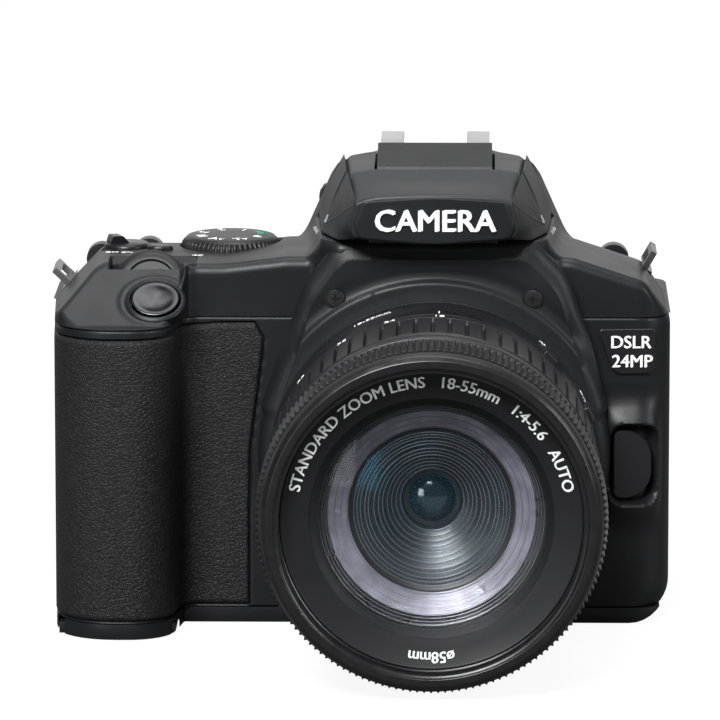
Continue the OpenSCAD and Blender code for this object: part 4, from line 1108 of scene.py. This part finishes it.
def buildControls():
    shutter = {"at": (-54.4, -27.0, 65.8), "tilt": 33.6}
    dome = [(0, -1.8), (4.4, -1.8), (4.65, -1.2), (4.7, 0.05), (4.66, 0.3), (4.5, 0.42), (4.2, 0.44),
            (3.4, 0.3), (2.4, 0.16),
            (1.2, 0.07), (0, 0.03)]
    piece = capPiece("shutterButtonCap", dome, shutter["at"], shutter["tilt"], spunMetal, "shutter_button",
                     160)
    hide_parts("shutter_button")
    collar = [(4.95, -2.2), (4.95, -0.15), (5.15, 0.1), (5.6, 0.02), (5.9, -0.3), (5.9, -2.2)]
    profile = np.array(collar)
    angle = np.linspace(0, 2 * np.pi, 120, endpoint=False)[None]
    local = np.stack([profile[:, :1] * np.cos(angle), profile[:, :1] * np.sin(angle),
                      profile[:, 1:] + 0 * angle], -1)
    grid = placed(local, shutter["at"], shutter["tilt"])
    makePiece("shutterCollar", grid.reshape(-1, 3),
              gridFaces(*grid.shape[:2], wrapRows=True, wrapCols=True), bodyPlastic,
              "camera")
    wheel = [(0, -1.7), (6.9, -1.7), (7.35, -1.4), (7.5, -1.0), (7.5, 0.5), (7.25, 0.8), (6.9, 0.95),
             (6.5, 1.5), (5.9, 1.75),
             (4.9, 1.7), (4.6, 1.2), (0, 1.1)]
    piece = capPiece("mainDialWheel", wheel, (-55.7, -16.3, 66.9), 55, dialPlastic, "main_dial",
                     44 * 8,
                     knurlRipple(44, 0.42, -1.5, 0.75))
    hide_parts("main_dial")
    mode = [(0, -0.2), (9.5, -0.2), (9.8, 0.0), (9.85, 0.5), (9.85, 1.9), (9.6, 2.3), (9.2, 2.75),
            (8.7, 3.2), (8.2, 3.35),
            (4.0, 3.42), (0, 3.45)]
    piece = capPiece("modeDialKnob", mode, (-40.7, 5, 70.2), 0, dialPlastic, "mode_dial",
                     54 * 8,
                     knurlRipple(54, 0.4, 0.4, 2.6))
    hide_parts("mode_dial")
    for k, text in enumerate(("M", "Av", "Tv", "P", "A+", "1", "2", "3")):
        a = k * 45 + 200
        x, y = -40.7 + 6.2 * math.cos(math.radians(a)), 5 + 6.2 * math.sin(math.radians(a))
        letters(f"modeMark{k}", text, 2.9, (x, y, 73.62), markGreen if text == "A+" else markWhite,
                "mode_dial",
                tilt=0, spin=a - 90 + 180, thick=0.12)
    base = [(0, -0.9), (4.4, -0.9), (4.5, -0.6), (4.5, 2.1), (4.3, 2.5), (3.9, 2.7), (0, 2.75)]
    piece = capPiece("powerDisc", base, (-61.4, 2.5, 69.7), 0, controlPlastic, "power_switch",
                     96)
    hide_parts("power_switch")
    tab = evenly(roundedPath([(-0.2, 2.6, 0.1), (3.9, 2.6, 0.3), (3.3, 4.3, 0.5), (1.2, 4.2, 0.8)], True,
                             6), 60, True)
    buildTab(tab)
    oval = [(0, -1.4), (2.55, -1.4), (2.6, 2.1), (2.45, 2.45), (2.2, 2.6), (0, 2.65)]
    piece = capPiece("isoButtonCap", oval, (-54.6, -1.5, 69.8), 0, controlPlastic, "iso_button",
                     96, squash=(1.0, 0.68))
    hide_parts("iso_button")
    letters("powerMarks", "OFF ON", 1.5, (-62.5, -6.2, 71.75), markWhite, "camera", tilt=0,
            thick=0.1)
    letters("isoMark", "ISO", 1.5, (-46.8, -9.6, 71.75), markWhite, "camera", tilt=0,
            thick=0.1)


def buildTab(profile):
    # the raised finger tab of the power switch, seen as a small fin on the disc
    def left(y, z):
        return -1.3 - 0.1 * z + 0 * y

    def right(y, z):
        return 1.3 + 0.1 * z + 0 * y
    piece = extruded("powerTab", profile, left, right, controlPlastic, "power_switch", "control_plastic", 10)
    co = np.zeros(len(piece.data.vertices) * 3, np.float32)
    piece.data.vertices.foreach_get("co", co)
    p = co.reshape(-1, 3) / mm
    a = math.radians(110)
    x = p[:, 0] * math.cos(a) - p[:, 1] * math.sin(a) - 61.4
    y = p[:, 0] * math.sin(a) + p[:, 1] * math.cos(a) + 2.5
    piece.data.vertices.foreach_set("co",
                                    (np.stack([x, y, p[:, 2] + 69.7], 1) * mm).astype(np.float32).ravel())
    addBevel(piece, 0.25)


buildControls()
print("controls built")

# badge and lens release


def buildFrontTrim():
    badge = evenly(roundedPath([(35.2, 50.0, 2.6), (43.4, 50.3, 1.2), (43.4, 59.2, 0.6), (32.1, 59.0, 0.6)],
                               True, 8), 120, True)
    piece = plateShell("badgePlate", badge, b["front"] - 0.05, 0.4, controlPlastic, "camera", 0.0)
    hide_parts("side_badge")
    letters("badgeWord", "DSLR", 3.5, (38.6, b["front"] - 0.55, 56.4), markWhite, "camera",
            weight=0.16)
    letters("badgeCount", "24MP", 3.5, (38.9, b["front"] - 0.55, 52.6), markWhite, "camera",
            weight=0.18)
    release = evenly(roundedPath([(35.4, 25.3, 1.2), (42.8, 25.3, 5.4), (42.8, 38.9, 5.4),
                                  (35.4, 38.9, 1.2)], True, 14),
                     160, True)
    piece = plateShell("lensReleaseCap", release, b["front"] + 1.0, 2.0, controlPlastic, "lens_release",
                       0.0)
    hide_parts("lens_release_button")


buildFrontTrim()

# finishes of the CAD pieces that stay

finishes = {
    "rear_cover": bodyPlastic, "bottom_cover": bodyPlastic, "thumb_rubber": gripRubber, "eyecup": ringRubber,
    "strap_lugs": lugMetal, "hot_shoe": shoeMetal, "tripod_socket": lugMetal, "body_mount_ring": mountMetal,
    "mirror_box": innerBlack, "focusing_screen": eyeGlass, "pentamirror": mirrorSilver,
    "eyepiece_lens": eyeGlass,
    "shutter_frame": innerBlack, "image_sensor": screenBlack, "main_board": boardGreen,
    "battery": batteryPlastic,
    "flash_window": windowGlass, "screen_arm": controlPlastic, "screen_frame": bodyPlastic,
    "screen_glass": screenBlack,
    "terminal_door": ringRubber, "battery_door": bodyPlastic, "door_latch": controlPlastic,
    "lens_lock_pin": mountMetal,
    "main_mirror": mirrorSilver, "sub_mirror": mirrorSilver, "shutter_curtain": innerBlack,
    "diopter_knob": dialPlastic,
    "menu_button": controlPlastic, "info_button": controlPlastic, "live_view_button": controlPlastic,
    "ae_lock_button": controlPlastic, "focus_point_button": controlPlastic, "set_button": controlPlastic,
    "cross_keys": controlPlastic, "play_button": controlPlastic, "erase_button": controlPlastic,
    "lens_mount_ring": mountMetal, "focus_switch": controlPlastic, "stabiliser_switch": controlPlastic}
easedBy = {"rear_cover": 0.4, "bottom_cover": 0.4, "thumb_rubber": 0.3, "eyecup": 0.9, "screen_frame": 0.6,
           "terminal_door": 0.3,
           "battery_door": 0.2, "cross_keys": 0.4, "hot_shoe": 0.15, "set_button": 0.3, "menu_button": 0.3,
           "info_button": 0.3, "live_view_button": 0.3, "ae_lock_button": 0.3, "focus_point_button": 0.3,
           "play_button": 0.3, "erase_button": 0.3, "diopter_knob": 0.2, "focus_switch": 0.2,
           "stabiliser_switch": 0.2}
for nodeName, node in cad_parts.items():
    if nodeName not in finishes:
        continue
    if not node.material_slots:
        node.data.materials.append(None)
    for slot in node.material_slots:
        slot.material = finishes[nodeName]
    node.modifiers.new("join", "WELD").merge_threshold = 2e-6
    if nodeName in easedBy:
        bevel = node.modifiers.new("eased edges", "BEVEL")
        bevel.width, bevel.segments, bevel.limit_method = easedBy[nodeName] * mm, 3, "ANGLE"
        bevel.angle_limit = math.radians(40)
    node.modifiers.new("crisp edges", "NODES").node_group = creaseGroup(38)
print("finishes given")

# stage, light and camera


def buildStage():
    floor = {"half": 6.0, "height": -0.0002}
    mesh = bpy.data.meshes.new("studioFloor")
    h, z = floor["half"], floor["height"]
    mesh.from_pydata([(-h, -h, z), (h, -h, z), (h, h, z), (-h, h, z)], [], [(0, 1, 2, 3)])
    ground = bpy.data.objects.new("studioFloor", mesh)
    bpy.context.scene.collection.objects.link(ground)
    paper = finishMaterial("studio paper", "mould", (0.10, 0.10, 0.10), (0.115, 0.115, 0.115), (0.9, 0.95),
                           0.01)
    nodes, link = paper.node_tree.nodes, paper.node_tree.links.new
    glow = nodes.new("ShaderNodeMath")
    glow.operation = "MULTIPLY"
    glow.inputs[1].default_value = 0.92
    link(nodes.new("ShaderNodeLightPath").outputs["Is Camera Ray"], glow.inputs[0])
    nodes["Principled BSDF"].inputs["Emission Color"].default_value = (1, 1, 1, 1)
    link(glow.outputs[0], nodes["Principled BSDF"].inputs["Emission Strength"])
    mesh.materials.append(paper)
    buildAir()

    def softBox(name, at, towards, width, height, power):
        light = bpy.data.lights.new(name, "AREA")
        light.shape, light.size, light.size_y, light.energy = "RECTANGLE", width, height, power
        lamp = bpy.data.objects.new(name, light)
        lamp.location = at
        lamp.rotation_euler = (Vector(towards) - Vector(at)).to_track_quat("-Z", "Y").to_euler()
        bpy.context.scene.collection.objects.link(lamp)

    softBox("keyBox", (-0.35, -0.95, 1.0), (0, 0, 0.05), 0.6, 0.5, 26.0)
    softBox("topBox", (0.05, 0.1, 0.9), (0, 0, 0.06), 0.6, 0.35, 3.2)
    softBox("leftBox", (-0.72, -1.2, 0.16), (0, 0, 0.04), 0.3, 0.5, 2.4)
    softBox("rightBox", (0.95, -0.5, 0.45), (0, 0, 0.05), 0.2, 0.6, 4.0)


def buildAir():
    # the surroundings: white for the eye; for light and mirror images they are bright behind the
    # object, softer overhead and dark in front
    world = bpy.data.worlds.new("studio air")
    bpy.context.scene.world = world
    world.use_nodes = True
    nodes, link = world.node_tree.nodes, world.node_tree.links.new
    air = nodes["Background"]

    def ramp(source, lo, hi, low, high):
        node = nodes.new("ShaderNodeMapRange")
        node.interpolation_type = "SMOOTHSTEP"
        for label, value in (("From Min", lo), ("From Max", hi), ("To Min", low), ("To Max", high)):
            node.inputs[label].default_value = value
        link(source, node.inputs["Value"])
        return node.outputs[0]

    def sums(a, b, operation="ADD"):
        node = nodes.new("ShaderNodeMath")
        node.operation = operation
        link(a, node.inputs[0])
        link(b, node.inputs[1])
        return node.outputs[0]

    where, split = nodes.new("ShaderNodeTexCoord"), nodes.new("ShaderNodeSeparateXYZ")
    link(where.outputs["Generated"], split.inputs[0])
    behind = ramp(split.outputs["Y"], 0.45, 1.0, 0.06, 0.95)
    above = ramp(split.outputs["Z"], 0.3, 0.95, 0.0, 0.15)
    eye = nodes.new("ShaderNodeLightPath").outputs["Is Camera Ray"]
    link(sums(sums(behind, above), eye, "MAXIMUM"), air.inputs["Strength"])
    air.inputs["Color"].default_value = (1, 1, 1, 1)


def buildCamera():
    shot = {"at": (8.6, -1346.0, 293.0), "down": 10.27, "turn": 1.0, "lens": 343.0}
    lens = bpy.data.cameras.new("camera view")
    lens.lens, lens.sensor_width, lens.clip_start, lens.clip_end = shot["lens"], 36.0, 0.05, 50.0
    view = bpy.data.objects.new("camera view", lens)
    view.location = Vector(shot["at"]) * mm
    view.rotation_euler = (math.radians(90 - shot["down"]), 0, math.radians(shot["turn"]))
    bpy.context.scene.collection.objects.link(view)
    bpy.context.scene.camera = view


buildStage()
buildCamera()
bpy.context.scene.view_settings.view_transform = "Standard"
bpy.context.view_layer.update()
print("scene ready")
